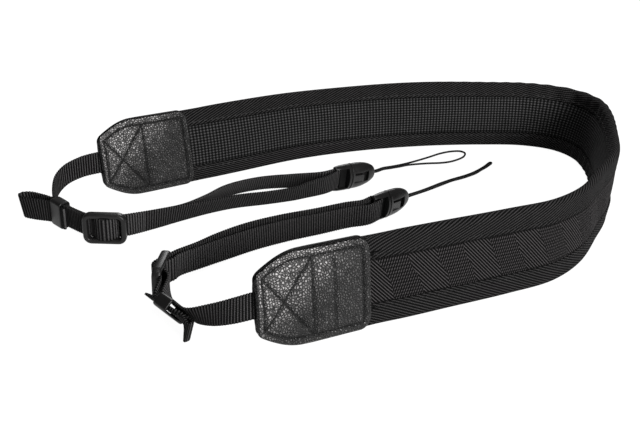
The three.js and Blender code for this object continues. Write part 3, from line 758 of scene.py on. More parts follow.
# %% [markdown]
# Each tab is two plies of leather that close over the end of the pad and meet over the webbing. A ply could
# be cut from a drawn outline, but a half width for each distance along it keeps the grid of the mesh even.

# %% Tab outline
TAB_LENGTH = 50.0
TAB_NARROW_WIDTH = 24.6
TAB_SHOULDER = 19.0
TAB_CORNER = 5.0
TAB_SMALL_CORNER = 2.0


def tab_half_width(along):
    rise = np.minimum(1, along / TAB_SHOULDER) * math.pi / 2
    shoulder = TAB_NARROW_WIDTH / 2 + (PAD_WIDTH - TAB_NARROW_WIDTH) / 2 * np.sin(rise)
    corner = np.clip(along - (TAB_LENGTH - TAB_CORNER), 0, TAB_CORNER)
    small = np.clip(TAB_SMALL_CORNER - along, 0, TAB_SMALL_CORNER)
    rounding = np.sqrt(TAB_CORNER**2 - corner**2) - TAB_CORNER
    return shoulder + rounding + np.sqrt(TAB_SMALL_CORNER**2 - small**2) - TAB_SMALL_CORNER


print("tab width halfway in mm:", round(2 * float(tab_half_width(TAB_LENGTH / 2)), 1))

# %% [markdown]
# Sewing runs round the border of a tab, across its middle, and in a cross over the webbing. Pressed leather
# and stitches both need these seams, so they are measured once here.

# %% Tab seams
BORDER_SEAM = 3.2
CROSS_SEAM = 24.0


def seam_distance(along, across, start, end):
    """Distance of places on a ply from a straight seam between two places."""
    run = np.subtract(end, start)
    offset = np.stack([along - start[0], across - start[1]], -1)
    t = np.clip(offset @ run / (run @ run), 0, 1)
    return np.linalg.norm(offset - t[..., None] * run, axis=-1)


def cross_ends():
    near_half = float(tab_half_width(BORDER_SEAM)) - BORDER_SEAM
    far_half = float(tab_half_width(CROSS_SEAM)) - BORDER_SEAM
    return [((BORDER_SEAM, side * near_half), (CROSS_SEAM, -side * far_half)) for side in (-1, 1)]


def tab_border(along, across):
    return np.minimum.reduce([tab_half_width(along) - np.abs(across), along, TAB_LENGTH - along])


def tab_seam(along, across):
    """Distance of places on a ply from its closest seam."""
    inner_half = tab_half_width(CROSS_SEAM) - BORDER_SEAM
    seams = [np.abs(tab_border(along, across) - BORDER_SEAM)]
    seams.append(seam_distance(along, across, (CROSS_SEAM, -inner_half), (CROSS_SEAM, inner_half)))
    seams += [seam_distance(along, across, *ends) for ends in cross_ends()]
    return np.minimum.reduce(seams)


print("ends of the cross in mm:", [[round(value, 1) for value in sum(ends, ())] for ends in cross_ends()])

# %% [markdown]
# The seams press valleys into the leather, and it swells between them. That is one height over the flat ply,
# added to a face that lies close to the webbing at the narrow end and round the squashed pad beyond it.

# %% Tab relief
LEATHER = 1.3
PLY_GAP = 0.12
WEBBING_WIDTH = 11.0
WEBBING_WALL = 1.0
GAP = 0.3
WEBBING_IN_TAB = 0.3
PRESSED_LINE = 33.5
CLOSED_UNTIL = 13.0


def tab_relief(along, across, lined):
    """Height of the leather over its flat ply; across is measured from the tab's middle line."""
    border = tab_border(along, across)
    inner_half = tab_half_width(CROSS_SEAM) - BORDER_SEAM
    closest = tab_seam(along, across)
    relief = 0.5 * ease(closest, 0.3, 4.5) - 0.55 * near(closest, 0, 0.8)
    relief -= 0.5 * (1 - ease(border, 0, 0.8)) + 0.25 * (1 - ease(border, 0, BORDER_SEAM))
    if lined:
        relief -= 0.4 * near(along, PRESSED_LINE, 0.8) * ease(inner_half - np.abs(across), 0, 1.5)
    return relief


def tab_face(along, across, side):
    """The inner face of a ply: near the webbing at the narrow end, and round the squashed pad beyond it."""
    past_webbing = ease(np.abs(across), WEBBING_WIDTH / 2 + 0.5, WEBBING_WIDTH / 2 + 4)
    closed = WEBBING_IN_TAB + side * (WEBBING_WALL / 2 + GAP) * (1 - 0.85 * past_webbing)
    tape_face = TAPE_OUTER_FACE if side < 0 else TAPE_INNER_FACE
    squashed = (tape_face - PAD_MIDDLE) * (1 - SQUASH) * edge_pinch(PAD_WIDTH / 2 - np.abs(across))
    opened = PAD_MIDDLE + squashed + side * PLY_GAP
    return closed + (opened - closed) * ease(along, CLOSED_UNTIL, PAD_END_IN_TAB - 1)


def tab_place(back, side, lined, along, across):
    """A place on a ply's outer face; back is 1 for the back tab and side is -1 for the outer ply."""
    face = tab_face(along, across, side) + side * (LEATHER + tab_relief(along, across, lined))
    distance = pad_route.length - along if back else along
    return pad_place(face, PAD_WIDTH / 2 + across, distance)


print("leather in mm:", LEATHER)

# %% [markdown]
# Each ply is laid like cloth. It carries two marks for its finish: where it is pressed in or blackened at its
# narrow end, and a painted highlight that pales its top and narrow end. Its back and its cut edges are black.

# %% Tab plies
PRESSED_HALF = 16.0
BLACK_END = (0.7, 1.9)


def tab_ply(end, layer):
    back, side = int(end == "back"), -1 if layer == "outer" else 1
    lined = end == "front" and layer == "outer"
    name = f"{end}_tab_{layer}"

    def on_ply(along, across):
        spread = TAB_LENGTH * (1 - np.cos(math.pi * along / TAB_LENGTH)) / 2
        spread = 0.35 * along + 0.65 * spread
        return spread, (across / PAD_WIDTH - 0.5) * 2 * tab_half_width(spread)

    def lay(along, across):
        return tab_place(back, side, lined, *on_ply(along, across))

    # Painted highlight: paler towards the ply's top edge and narrow end, where the light catches it.
    def rubbed(along, across):
        spread, sideways = on_ply(along, across)
        upwards = 0.5 + sideways / PAD_WIDTH
        return ease(0.5 * upwards + 0.5 * (1 - spread / TAB_LENGTH), 0.42, 0.78)

    def pressed_in(along, across):
        spread, sideways = on_ply(along, across)
        seams = near(tab_seam(spread, sideways), 0, 0.75)
        if lined:
            line = near(spread, PRESSED_LINE, 0.9) * ease(PRESSED_HALF - np.abs(sideways), 0, 1)
            seams = np.maximum(seams, 0.8 * line)
        return np.maximum(seams, 1 - ease(spread, *BLACK_END))

    cells, size = (120, 96), (TAB_LENGTH, PAD_WIDTH)
    marks = {"seam": pressed_in, "rubbed": rubbed}
    turned = (side < 0) == bool(back)
    piece = lay_cloth(name, leather, cells, size, lay, LEATHER, turned, marks)
    piece.data.materials.append(black_for_edges_and_shade)
    piece.modifiers["wall"].material_offset = 1
    piece.modifiers["wall"].material_offset_rim = 1
    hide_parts(name)
    return piece


for end in ("front", "back"):
    for layer in ("outer", "inner"):
        tab_ply(end, layer)

# %% [markdown]
# The tabs' seams are sewn with black thread: a border, a line across, and the cross over the webbing.

# %% Tab stitches
TAB_STITCH_PITCH = 2.6
TAB_STITCH_LENGTH = 2.0


def border_seam():
    """Corner places of the border seam, from the narrow end round to the narrow end."""
    stops = [BORDER_SEAM, 10, 17, 24, 34, TAB_LENGTH - BORDER_SEAM - 2.5]
    upper = [(along, float(tab_half_width(along)) - BORDER_SEAM) for along in stops]
    upper.append((TAB_LENGTH - BORDER_SEAM, float(tab_half_width(stops[-1])) - BORDER_SEAM - 2.5))
    lower = [(along, -across) for along, across in reversed(upper)]
    return [*upper, *lower, upper[0]]


def tab_seams():
    border = border_seam()
    inner_half = float(tab_half_width(CROSS_SEAM)) - BORDER_SEAM
    seams = list(zip(border, border[1:]))
    seams.append(((CROSS_SEAM, -inner_half), (CROSS_SEAM, inner_half)))
    return seams + cross_ends()


def sew_tab(end, layer):
    back, side = int(end == "back"), -1 if layer == "outer" else 1
    lined = end == "front" and layer == "outer"

    def surface(place):
        along, across = np.array([place[0]]), np.array([place[1]])
        distance = pad_route.length - along if back else along
        left = pad_route.at(distance)[2][0]
        return tab_place(back, side, lined, along, across)[0], left * side

    shape = bmesh.new()
    for seam in tab_seams():
        sew(shape, surface, seam, TAB_STITCH_PITCH, TAB_STITCH_LENGTH)
    piece = stitch_piece(f"{end}_tab_{layer}_stitches", shape, thread)


for end in ("front", "back"):
    for layer in ("outer", "inner"):
        sew_tab(end, layer)

# %% [markdown]
# Each webbing strap is one length: out of the tab, through the keeper and the triglide, round the buckle's
# bar, back beside itself, and through the keeper twice more with its folded tail. The table's rows give the
# middle line of the doubled strap, its height and lean, and how far the two layers lie from that line.
# The front keeper, tail and triglide are set as the photo shows them, a little away from their solids.

# %% Strap designs
LAYER_PITCH = WEBBING_WALL + GAP
TRIGLIDE_Z = 8.0
BAR_Z = 8.3
BUCKLE_TILT = 4.0
WRAP_RADIUS = 2.0
KEEPER_REACH = 4.3

# Columns of the rows: x, y, z, lean, inner, outer. Columns of a tail: along the strap, out from it.
# A keeper has its x, y and heading, and stands with its middle at a height and its top leaning out.
STRAPS = {
    "front": {
        "outside": 1,
        "from_tab": [
            (-103, -76, 17.3, -8, 0, 0),
            (-110.5, -70.5, 13.2, 8, -0.3, 0),
            (-117, -63, 9, 31, -1.1, 0),
        ],
        "keeper": (-120.5, -51.5, 110),
        "keeper_stand": (7.5, 38),
        "triglide": (-117, -27, 60),
        "band": [
            (-97, -15.2, 7.2, 3, -1, 1),
            (-84, -9.7, 6.3, 7, -1.9, 1.9),
            (-68, -5.3, 6.1, 8, -2.3, 2.3),
            (-50, -3.1, 6.1, 8, -2.2, 2.2),
            (-32, -3.3, 6.6, 6, -1.9, 1.9),
            (-16, -4.2, 7.8, 3, -1.9, 1.9),
            (-6.5, -5.4, 8.2, 1, -2, 2),
        ],
        "tail": [
            (-4.5, 0.1),
            (-9, 0.15),
            (-13.2, 0.2),
            (-16.6, 1.6),
            (-16.3, 4.7),
            (-13.2, 4.3),
            (-9, 1.3),
            (-4.5, 1.25),
            (0, 1.3),
            (4.5, 1.4),
            (8, 1.9),
            (11.5, 2.7),
        ],
        "bar": (0.2, -3),
    },
    "back": {
        "outside": -1,
        "from_tab": [
            (-131.5, 72.8, 17.3, 8, 0, 0),
            (-139, 73.2, 14, 2, 0, 0),
            (-145, 69, 10.8, 0, -0.4, 0),
            (-148.7, 59.5, 8, 0, -1, 0),
        ],
        "keeper": (-147.8, 46, -66),
        "keeper_stand": (7, 0),
        "triglide": (-131.3, 22.6, -23),
        "band": [
            (-108, 24.5, 7, 8, -1.2, 1.2),
            (-92, 29, 5.9, 19, -1.9, 1.9),
            (-77, 34.3, 5.4, 27, -4.8, 4.8),
            (-62, 38.8, 5.4, 28, -8.4, 8.4),
            (-44, 39.6, 5.4, 28, -10.6, 10.6),
            (-26, 37.4, 5.8, 24, -9, 9),
            (-12, 33.2, 7.8, 8, -4.2, 4.2),
        ],
        "tail": [
            (-4.5, 0.05),
            (-9, 0.9),
            (-14, 2.4),
            (-18.5, 4.2),
            (-20.6, 6.8),
            (-18, 8.4),
            (-13, 6.4),
            (-8.5, 3.7),
            (-4.5, 1.5),
            (0, 1.3),
            (4.5, 1.3),
            (7.5, 1.5),
        ],
        "bar": (-3, 34.8),
    },
}
print("straps:", list(STRAPS))

# %% [markdown]
# A strap weaves through its hardware, so the table's rows are joined by rows that the hardware gives: the
# webbing inside the tab, its way through the keeper, and its way over the triglide's middle bar.

# %% Strap routes
WEBBING_TAB_ROWS = (23.5, 11.75, 2.5, 0.0)
# The strap's way through a triglide: along the frame, and out from its plane.
TRIGLIDE_IN = [(-9.8, -3.1), (-6.1, -1.65), (-2.9, 1.55)]
TRIGLIDE_OUTWARD = [(-along, out) for along, out in reversed(TRIGLIDE_IN)]
TRIGLIDE_PASS = [*TRIGLIDE_IN, (0, 2.75), *TRIGLIDE_OUTWARD]


def plan_axes(heading, outside):
    """Level directions along a piece of hardware on the strap and out from it."""
    ahead = np.array([math.cos(math.radians(heading)), math.sin(math.radians(heading)), 0.0])
    return ahead, np.array([-ahead[1], ahead[0], 0.0]) * outside


def beside(hardware, outside, along, out):
    """The plan place that lies along and out from a piece of hardware on the strap."""
    x, y, heading = hardware
    ahead, outward = plan_axes(heading, outside)
    return np.array([x, y]) + ahead[:2] * along + outward[:2] * out


def strap_route(end):
    design = STRAPS[end]
    outside = design["outside"]
    rows = []
    for along in WEBBING_TAB_ROWS:
        distance = np.array([pad_route.length - along if end == "back" else along])
        point = pad_place(np.array([WEBBING_IN_TAB]), np.array([PAD_WIDTH / 2]), distance)[0]
        rows.append((*point, -pad_route.at(distance)[3]["lean"][0], 0, 0))
    rows += design["from_tab"]
    keeper_row = len(rows) + 1
    height, lean = design["keeper_stand"]
    inner = -LAYER_PITCH / math.cos(math.radians(lean))
    for along in (-KEEPER_REACH, 0, KEEPER_REACH):
        rows.append((*beside(design["keeper"], outside, along, 0), height, lean, inner, 0))
    for along, out in TRIGLIDE_PASS:
        place = beside(design["triglide"], outside, along, out)
        rows.append((*place, TRIGLIDE_Z, 0, -LAYER_PITCH / 2, LAYER_PITCH / 2))
    rows += design["band"]
    rows.append((*design["bar"], BAR_Z, 0, -WRAP_RADIUS, WRAP_RADIUS))
    route = Route(rows, ["lean", "inner", "outer"])
    return route, route.row_distance(keeper_row)


strap_routes = {end: strap_route(end) for end in STRAPS}
middle_lines = {end: round(route.length, 1) for end, (route, _) in strap_routes.items()}
print("strap middle lines in mm:", middle_lines)

# %% [markdown]
# The webbing goes out along one side of its route, round the buckle's bar, back along the other side and into
# its tail. So its centre line is a chain of four parts, which are spaced evenly and smoothed a little. The
# tail's loop turns upright past a leaning keeper.

# %% Webbing centre lines
STEP = 0.325
TAIL_LEAN = 0.32
LOOP_UPRIGHT = (5, 15)
LOOP_SAG = 2.8
WRAP_STEPS = 24
SMOOTHING_PASSES = 4


def layer_places(route, outside, column, distances):
    point, _, left, extra = route.at(distances)
    outward = left * outside
    upward = UP + outward * np.tan(np.radians(extra["lean"]))[:, None]
    upward /= np.linalg.norm(upward, axis=1, keepdims=True)
    return point + outward * extra[column][:, None], upward


def wrap_places(route, outside):
    point, ahead, left, _ = route.at(np.array([route.length]))
    angles = np.linspace(0, math.pi, WRAP_STEPS)[1:-1, None]
    outward = left * outside
    places = point - outward * WRAP_RADIUS * np.cos(angles) + ahead * WRAP_RADIUS * np.sin(angles)
    tilt = UP + ahead * math.tan(math.radians(BUCKLE_TILT))
    return places, np.repeat(tilt, len(places), 0)


def tail_places(design):
    height, lean = design["keeper_stand"]
    lean = math.radians(lean)
    rows = []
    for along, out in design["tail"]:
        tipped = lean * (1 - ease(-along, *LOOP_UPRIGHT))
        plan = beside(design["keeper"], design["outside"], along, out * math.cos(tipped))
        sag = LOOP_SAG * (math.sin(lean) - math.sin(tipped))
        rows.append((*plan, height - out * math.sin(tipped) - sag))
    line = Route(rows, [])
    places = line.at(np.arange(0, line.length, STEP))[0]
    x, y, heading = design["keeper"]
    ahead, outward = plan_axes(heading, design["outside"])
    past = (np.array([x, y, height]) - places) @ ahead
    tipped = np.tan(lean * (1 - ease(past, *LOOP_UPRIGHT)))[:, None]
    return places, UP + outward * tipped - ahead * (TAIL_LEAN * ease(past, 5, 18))[:, None]


def strap_places(end):
    """The strap's whole centre line from tab to tail tip, evenly spaced, with the direction of its width."""
    design, (route, keeper) = STRAPS[end], strap_routes[end]
    outside = design["outside"]
    going = layer_places(route, outside, "inner", np.arange(0, route.length, STEP))
    coming = layer_places(route, outside, "outer", np.arange(route.length, keeper, -STEP))
    chain = [going, wrap_places(route, outside), coming, tail_places(design)]
    places, upward = (np.vstack(parts) for parts in zip(*chain))
    hops = np.linalg.norm(np.diff(places, axis=0), axis=1)
    distance = np.concatenate([[0], np.cumsum(hops)])
    even = np.linspace(0, distance[-1], int(distance[-1] / STEP))

    def spread(table):
        return np.stack([np.interp(even, distance, column) for column in table.T], -1)

    places, upward = spread(places), spread(upward)
    for _ in range(SMOOTHING_PASSES):
        places[1:-1] = (places[:-2] + 2 * places[1:-1] + places[2:]) / 4
        upward[1:-1] = (upward[:-2] + 2 * upward[1:-1] + upward[2:]) / 4
    return places, upward / np.linalg.norm(upward, axis=1, keepdims=True), distance[-1]


print("webbing samples:", {end: len(strap_places(end)[0]) for end in STRAPS})

# %% [markdown]
# The webbing is laid as cloth along that line. Its cross ribs are real: the rows of vertices rise and fall in
# a wave, and the edges step in and out with it as woven edges do.

# %% Webbing straps
RIB_ROWS = 2
RIB_HEIGHT = 0.07
EDGE_STEP = 0.12


def webbing_strap(end):
    places, upward, length = strap_places(end)
    ahead = np.gradient(places, axis=0)
    side = np.cross(ahead, upward)
    side /= np.linalg.norm(side, axis=1, keepdims=True)
    rows = len(places) - 1
    rib = np.sin(np.arange(rows + 1) * math.pi / RIB_ROWS)

    def lay(along, across):
        i = np.round(along / length * rows).astype(int)
        width = across - WEBBING_WIDTH / 2
        reach = width * (1 + rib[i] * EDGE_STEP * 2 / WEBBING_WIDTH)
        bulge = rib[i] * RIB_HEIGHT + WEBBING_WALL / 2
        return places[i] + upward[i] * reach[:, None] + side[i] * bulge[:, None]

    name = f"{end}_webbing"
    size = (length, WEBBING_WIDTH)
    piece = lay_cloth(name, webbing_cloth, (rows, 10), size, lay, WEBBING_WALL, turned=True)
    piece.modifiers["wall"].use_even_offset = False
    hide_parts(name)
    print(name, "length in mm:", round(length, 1))
    return piece


for end in STRAPS:
    webbing_strap(end)

# %% [markdown]
# Keepers and triglides are rings of moulded plastic. A ring can be made by lofting, but it is quicker to
# walk round it: one section is pushed along each side with an extrude and turned round each corner with a
# spin.

# %% Plastic rings
SECTION_POINTS = 20
CORNER_STEPS = 6


def push(shape, edges, step):
    grown = bmesh.ops.extrude_edge_only(shape, edges=edges)["geom"]
    verts = [item for item in grown if isinstance(item, bmesh.types.BMVert)]
    bmesh.ops.translate(shape, verts=verts, vec=step)
    return [item for item in grown if isinstance(item, bmesh.types.BMEdge)]


def turn(shape, edges, centre):
    quarter = {"axis": (0, -1, 0), "angle": math.pi / 2, "steps": CORNER_STEPS, "use_merge": False}
    grown = bmesh.ops.spin(shape, geom=edges, cent=centre, **quarter)["geom_last"]
    return [item for item in grown if isinstance(item, bmesh.types.BMEdge)]


def squared(value, half, power):
    return math.copysign(abs(value) ** power, value) * half


def add_ring(shape, half_length, half_height, corner, section, power):
    """A ring in the XZ plane through its section's middle; section is (width in the plane, depth)."""
    start = bmesh.ops.create_circle(shape, segments=SECTION_POINTS, radius=1)["verts"]
    for vert in start:
        x, y = vert.co.x, vert.co.y
        vert.co = (0, squared(x, section[1] / 2, power), squared(y, section[0] / 2, power) - half_height)
    edges = list({edge for vert in start for edge in vert.link_edges})
    flat, tall = half_length - corner, half_height - corner
    edges = push(shape, edges, (flat, 0, 0))
    edges = turn(shape, edges, (flat, 0, -tall))
    edges = push(shape, edges, (0, 0, 2 * tall))
    edges = turn(shape, edges, (flat, 0, tall))
    edges = push(shape, edges, (-2 * flat, 0, 0))
    edges = turn(shape, edges, (-flat, 0, tall))
    edges = push(shape, edges, (0, 0, -2 * tall))
    edges = turn(shape, edges, (-flat, 0, -tall))
    push(shape, edges, (flat, 0, 0))
    bmesh.ops.remove_doubles(shape, verts=shape.verts[:], dist=1e-4)
    bmesh.ops.recalc_face_normals(shape, faces=shape.faces[:])


def standing(heading, middle, tilt):
    """The hardware's own frame: x along the strap and z up, tipped down by the tilt."""
    place = Matrix.Translation(middle) @ Matrix.Rotation(math.radians(heading), 4, "Z")
    return place @ Matrix.Rotation(math.radians(tilt), 4, "Y")


def moulded(name, shape, heading, middle, tilt=0.0):
    """A plastic piece from a shape in mm in the hardware's own frame."""
    place = standing(heading, middle, tilt) @ Matrix.Scale(MM, 4)
    bmesh.ops.transform(shape, matrix=place, verts=shape.verts[:])
    piece = finish_piece(name, new_mesh(name, shape), plastic)
    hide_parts(name)
    return piece


print("points round a ring's section:", SECTION_POINTS)

# %% [markdown]
# A keeper is a flat ring round the layers of webbing. Its inside is painted black, since it is in deep
# shade. A triglide is a rounder ring with a middle bar that the webbing goes over.

# %% Keepers and triglides
KEEPER_WALL = 1.2
KEEPER_LENGTH = 8.0
KEEPER_HALF_DEPTH = 3.15
KEEPER_HALF_HEIGHT = 7.0
KEEPER_CORNER = 1.0
KEEPER_ROUNDNESS = 0.3
TRIGLIDE_HALF_LENGTH = 10.2
TRIGLIDE_HALF_HEIGHT = 8.0
TRIGLIDE_BAR = 2.5
TRIGLIDE_DEPTH = 4.0
TRIGLIDE_OUT = 0.6
TRIGLIDE_CORNER = 4.0
TRIGLIDE_ROUNDNESS = 0.6
TRIGLIDE_MIDDLE_BAR = 8.0
TRIGLIDE_BAR_HALF_DEPTH = 0.8


def keeper(end):
    x, y, heading = STRAPS[end]["keeper"]
    shape = bmesh.new()
    half = KEEPER_WALL / 2
    halves = (KEEPER_HALF_DEPTH - half, KEEPER_HALF_HEIGHT - half)
    add_ring(shape, *halves, KEEPER_CORNER, (KEEPER_WALL, KEEPER_LENGTH), KEEPER_ROUNDNESS)
    for face in shape.faces:
        face.material_index = int(face.normal.dot(face.calc_center_median() * Vector((1, 0, 1))) < -0.5)
    bmesh.ops.rotate(shape, verts=shape.verts[:], matrix=Matrix.Rotation(math.pi / 2, 3, "Z"))
    height, lean = STRAPS[end]["keeper_stand"]
    roll = Matrix.Rotation(-math.radians(lean) * STRAPS[end]["outside"], 3, "X")
    bmesh.ops.rotate(shape, verts=shape.verts[:], matrix=roll)
    piece = moulded(f"{end}_keeper", shape, heading, in_frame(x, y, height))
    piece.data.materials.append(black_for_edges_and_shade)


def triglide(end):
    x, y, heading = STRAPS[end]["triglide"]
    shape = bmesh.new()
    half = TRIGLIDE_BAR / 2
    section = (TRIGLIDE_BAR, TRIGLIDE_DEPTH)
    halves = (TRIGLIDE_HALF_LENGTH - half, TRIGLIDE_HALF_HEIGHT - half)
    add_ring(shape, *halves, TRIGLIDE_CORNER - half, section, TRIGLIDE_ROUNDNESS)
    bmesh.ops.translate(shape, verts=shape.verts[:], vec=(0, TRIGLIDE_OUT * STRAPS[end]["outside"], 0))
    bar_length = 2 * TRIGLIDE_HALF_HEIGHT - 2 * half
    bar = Matrix.Diagonal((TRIGLIDE_MIDDLE_BAR / 2, TRIGLIDE_BAR_HALF_DEPTH, bar_length, 1))
    bmesh.ops.create_cone(shape, cap_ends=True, segments=20, radius1=1, radius2=1, depth=1, matrix=bar)
    return moulded(f"{end}_triglide", shape, heading, in_frame(x, y, TRIGLIDE_Z))


for end in STRAPS:
    keeper(end)
    triglide(end)

# %% [markdown]
# A buckle is a cuff with the bar that the webbing wraps, and a bullet-shaped hood that clips over the cuff's
# plug. Both are lofts: a circle is extruded from section to section and scaled to each one's height and
# depth.

# %% Lofts
LOFT_POINTS = 48
LOFT_STEPS = 5


def loft(shape, sections):
    table = Route(sections, []).table[:: Route.SAMPLES // LOFT_STEPS]
    ring = bmesh.ops.create_circle(shape, segments=LOFT_POINTS, radius=0.5, cap_ends=True)["verts"]
    along, height, depth = table[0]
    for vert in ring:
        vert.co = (along, vert.co.x * depth, vert.co.y * height)
    edges = list({edge for vert in ring for edge in vert.link_edges})
    before = table[0]
    for row in table[1:]:
        edges = push(shape, edges, (row[0] - before[0], 0, 0))
        verts = list({vert for edge in edges for vert in edge.verts})
        bmesh.ops.scale(shape, verts=verts, vec=(1, row[2] / before[2], row[1] / before[1]))
        before = row
    bmesh.ops.edgeloop_fill(shape, edges=edges)
    bmesh.ops.recalc_face_normals(shape, faces=shape.faces[:])


print("points round a loft:", LOFT_POINTS)

# %% [markdown]
# Slots and windows could be left open in the loft, but it is easier to cut them with a Boolean and to let a
# Bevel soften the moulded edges. The helper objects are removed again.

# %% Cuts
SOFT_EDGE = 0.22


def block(start, end, half_depth, half_height):
    shape = bmesh.new()
    size = Vector((end - start, 2 * half_depth, 2 * half_height))
    place = Matrix.Translation(((start + end) / 2, 0, 0)) @ Matrix.Diagonal((*size, 1))
    bmesh.ops.create_cube(shape, size=1, matrix=place)
    return shape


def carve(shape, tools):
    """The shape after each (operation, tool shape), with its new edges softened."""
    body = new_object("body", new_mesh("body", shape))
    others = []
    for operation, tool in tools:
        other = new_object("tool", new_mesh("tool", tool))
        others.append(other)
        modifier = body.modifiers.new(operation, "BOOLEAN")
        modifier.operation = operation
        modifier.object = other
        modifier.solver = "EXACT"
    bevel = body.modifiers.new("soft_edges", "BEVEL")
    bevel.width = SOFT_EDGE
    bevel.segments = 2
    bevel.limit_method = "ANGLE"
    bevel.angle_limit = math.radians(40)
    cut = bmesh.new()
    cut.from_object(body, bpy.context.evaluated_depsgraph_get())
    for thing in (body, *others):
        data = thing.data
        bpy.data.objects.remove(thing)
        bpy.data.meshes.remove(data)
    return cut


print("softened edges in mm:", SOFT_EDGE)

# %% [markdown]
# The cuff has a slot for the webbing with a bar across it, a thin web that closes the slot behind the bar, a
# plug, and two press tongues that show in the hood's windows. The inside of the slot is painted black as
# shade.

# %% Buckle cuff
# Columns: along the axis from the bar, full height, full depth.
CUFF_SECTIONS = [
    (-2.4, 12.8, 5.0),
    (-2.0, 14.0, 6.0),
    (0, 14.9, 7.4),
    (3, 15.2, 8.4),
    (6, 15.3, 8.8),
    (8, 15.1, 8.7),
]
SLOT_END = 6.4
WEB_START = 2.4
WEB_HALF_DEPTH = 0.6
SLOT_HALF_HEIGHT = 5.95
SLOT_SHADE_HALF_DEPTH = 3.5
BAR_RADIUS = 1.15
BAR_LENGTH = 13.0
PLUG_HALF_DEPTH = 1.8
PLUG_HALF_HEIGHT = 4.2
THROUGH = 8.0
WINDOW_END = 20.2
WINDOW_HALF_HEIGHT = 2.9
TONGUE_END = 16.8
TONGUE_OUT = 3.8
TONGUE_DROP = 0.8


def bar_shape():
    shape = bmesh.new()
    size = {"radius1": BAR_RADIUS, "radius2": BAR_RADIUS, "depth": BAR_LENGTH}
    bmesh.ops.create_cone(shape, cap_ends=True, segments=20, **size)
    return shape


def cuff_shape():
    shape = bmesh.new()
    loft(shape, CUFF_SECTIONS)
    slot = block(CUFF_SECTIONS[0][0] - 1, SLOT_END, THROUGH, SLOT_HALF_HEIGHT)
    web = block(WEB_START, SLOT_END + 1, WEB_HALF_DEPTH, SLOT_HALF_HEIGHT + 0.4)
    plug = block(SLOT_END + 1, WINDOW_END, PLUG_HALF_DEPTH, PLUG_HALF_HEIGHT)
    tongue = block(SLOT_END + 1, TONGUE_END, TONGUE_OUT, WINDOW_HALF_HEIGHT - TONGUE_DROP)
    bmesh.ops.translate(tongue, verts=tongue.verts[:], vec=(0, 0, -TONGUE_DROP))
    tools = [("DIFFERENCE", slot), *[("UNION", tool) for tool in (bar_shape(), web, plug, tongue)]]
    cut = carve(shape, tools)
    # Faces deep in the slot take the black paint, as painted shade.
    for face in cut.faces:
        along, depth, height = face.calc_center_median()
        in_slot = WEB_START < along < SLOT_END + 0.01 and abs(height) < SLOT_HALF_HEIGHT
        face.material_index = int(in_slot and abs(depth) < SLOT_SHADE_HALF_DEPTH)
    return cut


print("cuff sections:", len(CUFF_SECTIONS))

# %% [markdown]
# The hood is hollow where the plug goes in, and it has a window on each broad face for the tongues.

# %% Buckle hood
HOOD_SECTIONS = [
    (8.3, 15.3, 9.1),
    (8.9, 15.4, 9.2),
    (9.5, 15.1, 8.9),
    (13, 15.0, 8.8),
    (17, 14.2, 8.3),
    (21, 12.2, 7.3),
    (24, 9.4, 5.9),
    (25.4, 7.2, 4.8),
    (26, 4.8, 3.4),
]
HOOD_MOUTH = 7.0
WINDOW_START = 9.9


def hood_shape():
    shape = bmesh.new()
    loft(shape, HOOD_SECTIONS)
    socket = block(HOOD_MOUTH, WINDOW_END + GAP, PLUG_HALF_DEPTH + GAP, PLUG_HALF_HEIGHT + GAP)
    window = block(WINDOW_START, WINDOW_END, THROUGH, WINDOW_HALF_HEIGHT)
    passage = block(HOOD_MOUTH, WINDOW_START + 0.1, TONGUE_OUT + GAP / 2, WINDOW_HALF_HEIGHT)
    return carve(shape, [("DIFFERENCE", tool) for tool in (socket, window, passage)])


print("hood sections:", len(HOOD_SECTIONS))

# %% [markdown]
# Each buckle lies in line with the end of its webbing, with its bar inside the webbing's loop, and tips down
# a little towards its cord.

# %% Buckles
def buckle_frame(end):
    route = strap_routes[end][0]
    ahead = route.at(np.array([route.length]))[1][0]
    heading = math.degrees(math.atan2(ahead[1], ahead[0]))
    return heading, in_frame(*STRAPS[end]["bar"], BAR_Z)


for end in STRAPS:
    heading, middle = buckle_frame(end)
    for part, make in (("cuff", cuff_shape), ("hood", hood_shape)):
        piece = moulded(f"{end}_buckle_{part}", make(), heading, middle, BUCKLE_TILT)
        piece.data.materials.append(black_for_edges_and_shade)
        piece.data.set_sharp_from_angle(angle=math.radians(35))

# %% [markdown]
# Each cord loop is one length of thin braided cord: out of the buckle's tip, along the floor, round, and
# back into the tip. A curve with a round bevel is the natural way to make it. It follows the solid's points,
# except that the front loop's far end is drawn narrower.

